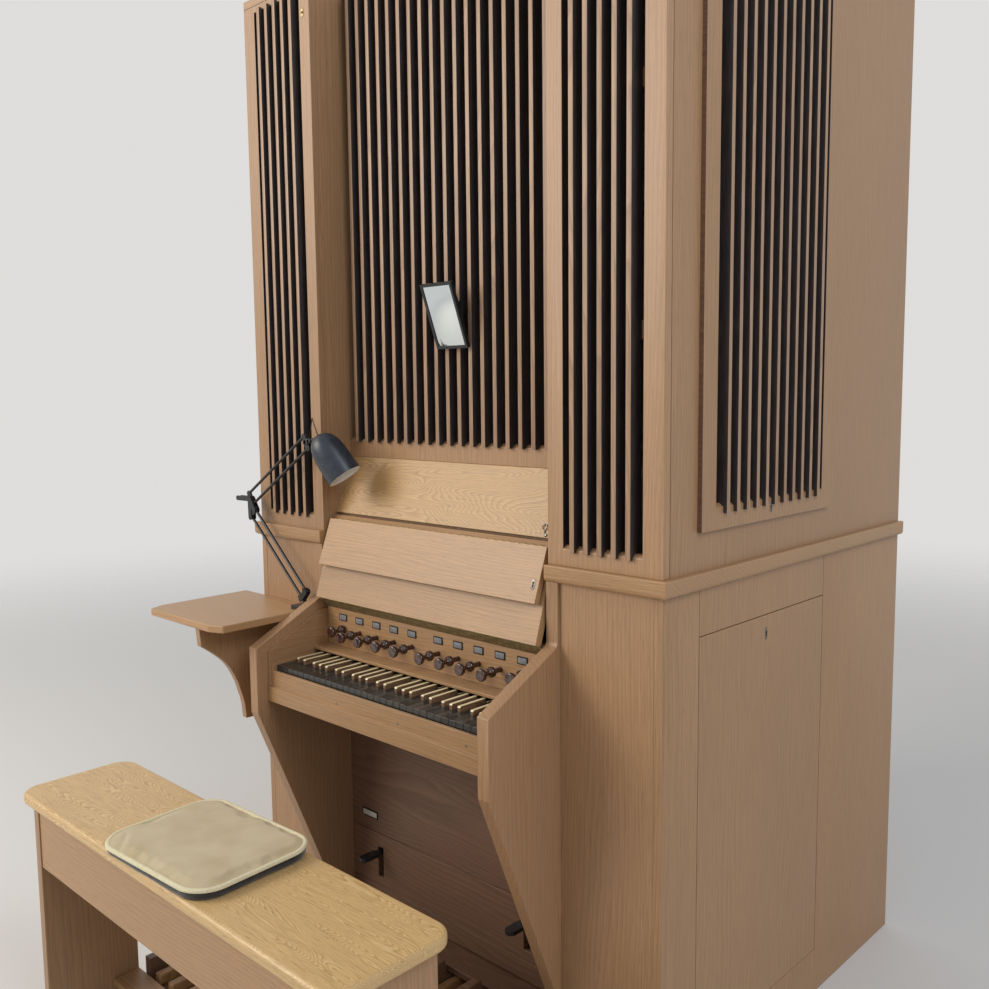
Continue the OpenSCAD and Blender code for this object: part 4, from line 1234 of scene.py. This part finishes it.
# %% Floor
floor_material, tree, shader = new_material("pale_floor", 0.8, Base_Color=tone("#DAD9D6"))
where = add(tree, "ShaderNodeTexCoord").outputs["Object"]
far = add(tree, "ShaderNodeVectorMath", {"operation": "LENGTH"}, {0: where})
FADE_START, FADE_END = 2.6, 8.5
fade = add(tree, "ShaderNodeMapRange", {"interpolation_type": "SMOOTHSTEP"},
           {0: far.outputs["Value"], 1: FADE_START, 2: FADE_END})
clear = add(tree, "ShaderNodeBsdfTransparent")
both = add(tree, "ShaderNodeMixShader", None, {0: fade.outputs[0], 1: shader.outputs[0], 2: clear.outputs[0]})
surface = next(n for n in tree.nodes if n.type == "OUTPUT_MATERIAL").inputs["Surface"]
tree.links.new(both.outputs[0], surface)
FLOOR_REACH, FLOOR_LEVEL = 14, -0.0005
corners = [(x * FLOOR_REACH, y * FLOOR_REACH, FLOOR_LEVEL) for x, y in ((-1, -1), (1, -1), (1, 1), (-1, 1))]
floor_mesh = bpy.data.meshes.new("floor")
floor_mesh.from_pydata(corners, [], [(0, 1, 2, 3)])
floor = placed("floor", floor_mesh)
floor.data.materials.append(floor_material)

# %% Sky and lamps
world = bpy.data.worlds.new("studio")
bpy.context.scene.world = world
world.use_nodes = True
sky = world.node_tree
sky.nodes.clear()
path = add(sky, "ShaderNodeLightPath")
seen = add(sky, "ShaderNodeMath", {"operation": "MAXIMUM"},
           {0: path.outputs["Is Camera Ray"], 1: path.outputs["Is Glossy Ray"]})
shown = add(sky, "ShaderNodeMath", {"operation": "MAXIMUM"},
            {0: seen.outputs[0], 1: path.outputs["Is Transmission Ray"]})
glow = add(sky, "ShaderNodeBackground", None, {"Color": tone("#F4F6FA"), "Strength": 0.56})
backdrop = add(sky, "ShaderNodeBackground", None, {"Color": tone("#E9E8E6"), "Strength": 0.9})
pick = add(sky, "ShaderNodeMixShader", None,
           {0: shown.outputs[0], 1: glow.outputs[0], 2: backdrop.outputs[0]})
add(sky, "ShaderNodeOutputWorld", None, {"Surface": pick.outputs[0]})


def soft_lamp(name, place, target, size, watts, colour):
    """a square lamp at a place, aimed at a target"""
    light = bpy.data.lights.new(name, "AREA")
    light.size, light.energy, light.color = size, watts, tone(colour)[:3]
    lamp = placed(name, light)
    lamp.location = place
    lamp.rotation_euler = (Vector(target) - Vector(place)).to_track_quat("-Z", "Y").to_euler()


soft_lamp("window_light", (-3.2, -4.6, 3.6), target=(0, -0.4, 1.3), size=3.0, watts=205, colour="#FFF6EA")
soft_lamp("room_light", (3.9, -1.3, 4.3), target=(0.7, 0, 2.2), size=2.2, watts=75, colour="#F2F6FF")

# %% Camera
def stand_camera(place, turn, tip, roll, focal_px, image_px=989, film_mm=36.0):
    """a camera turned left by turn, tipped down by tip and rolled, all in degrees"""
    a, b, c = (math.radians(v) for v in (turn, tip, roll))
    right = Vector((math.cos(a), math.sin(a), 0))
    ahead = Vector((-math.sin(a) * math.cos(b), math.cos(a) * math.cos(b), -math.sin(b)))
    down = ahead.cross(right)
    across = right * math.cos(c) + down * math.sin(c)
    below = down * math.cos(c) - right * math.sin(c)
    data = bpy.data.cameras.new("camera")
    data.sensor_width, data.lens = film_mm, focal_px / image_px * film_mm
    data.clip_end = 60
    cam = placed("camera", data)
    cam.matrix_world = standing(across, -below, -ahead, place)
    bpy.context.scene.camera = cam
    print("lens", round(data.lens, 2), "mm")


stand_camera((1.836, -2.247, 1.598), turn=43.7146, tip=6.1448, roll=0.6232, focal_px=1004.0)
bpy.context.scene.view_settings.view_transform = "Standard"
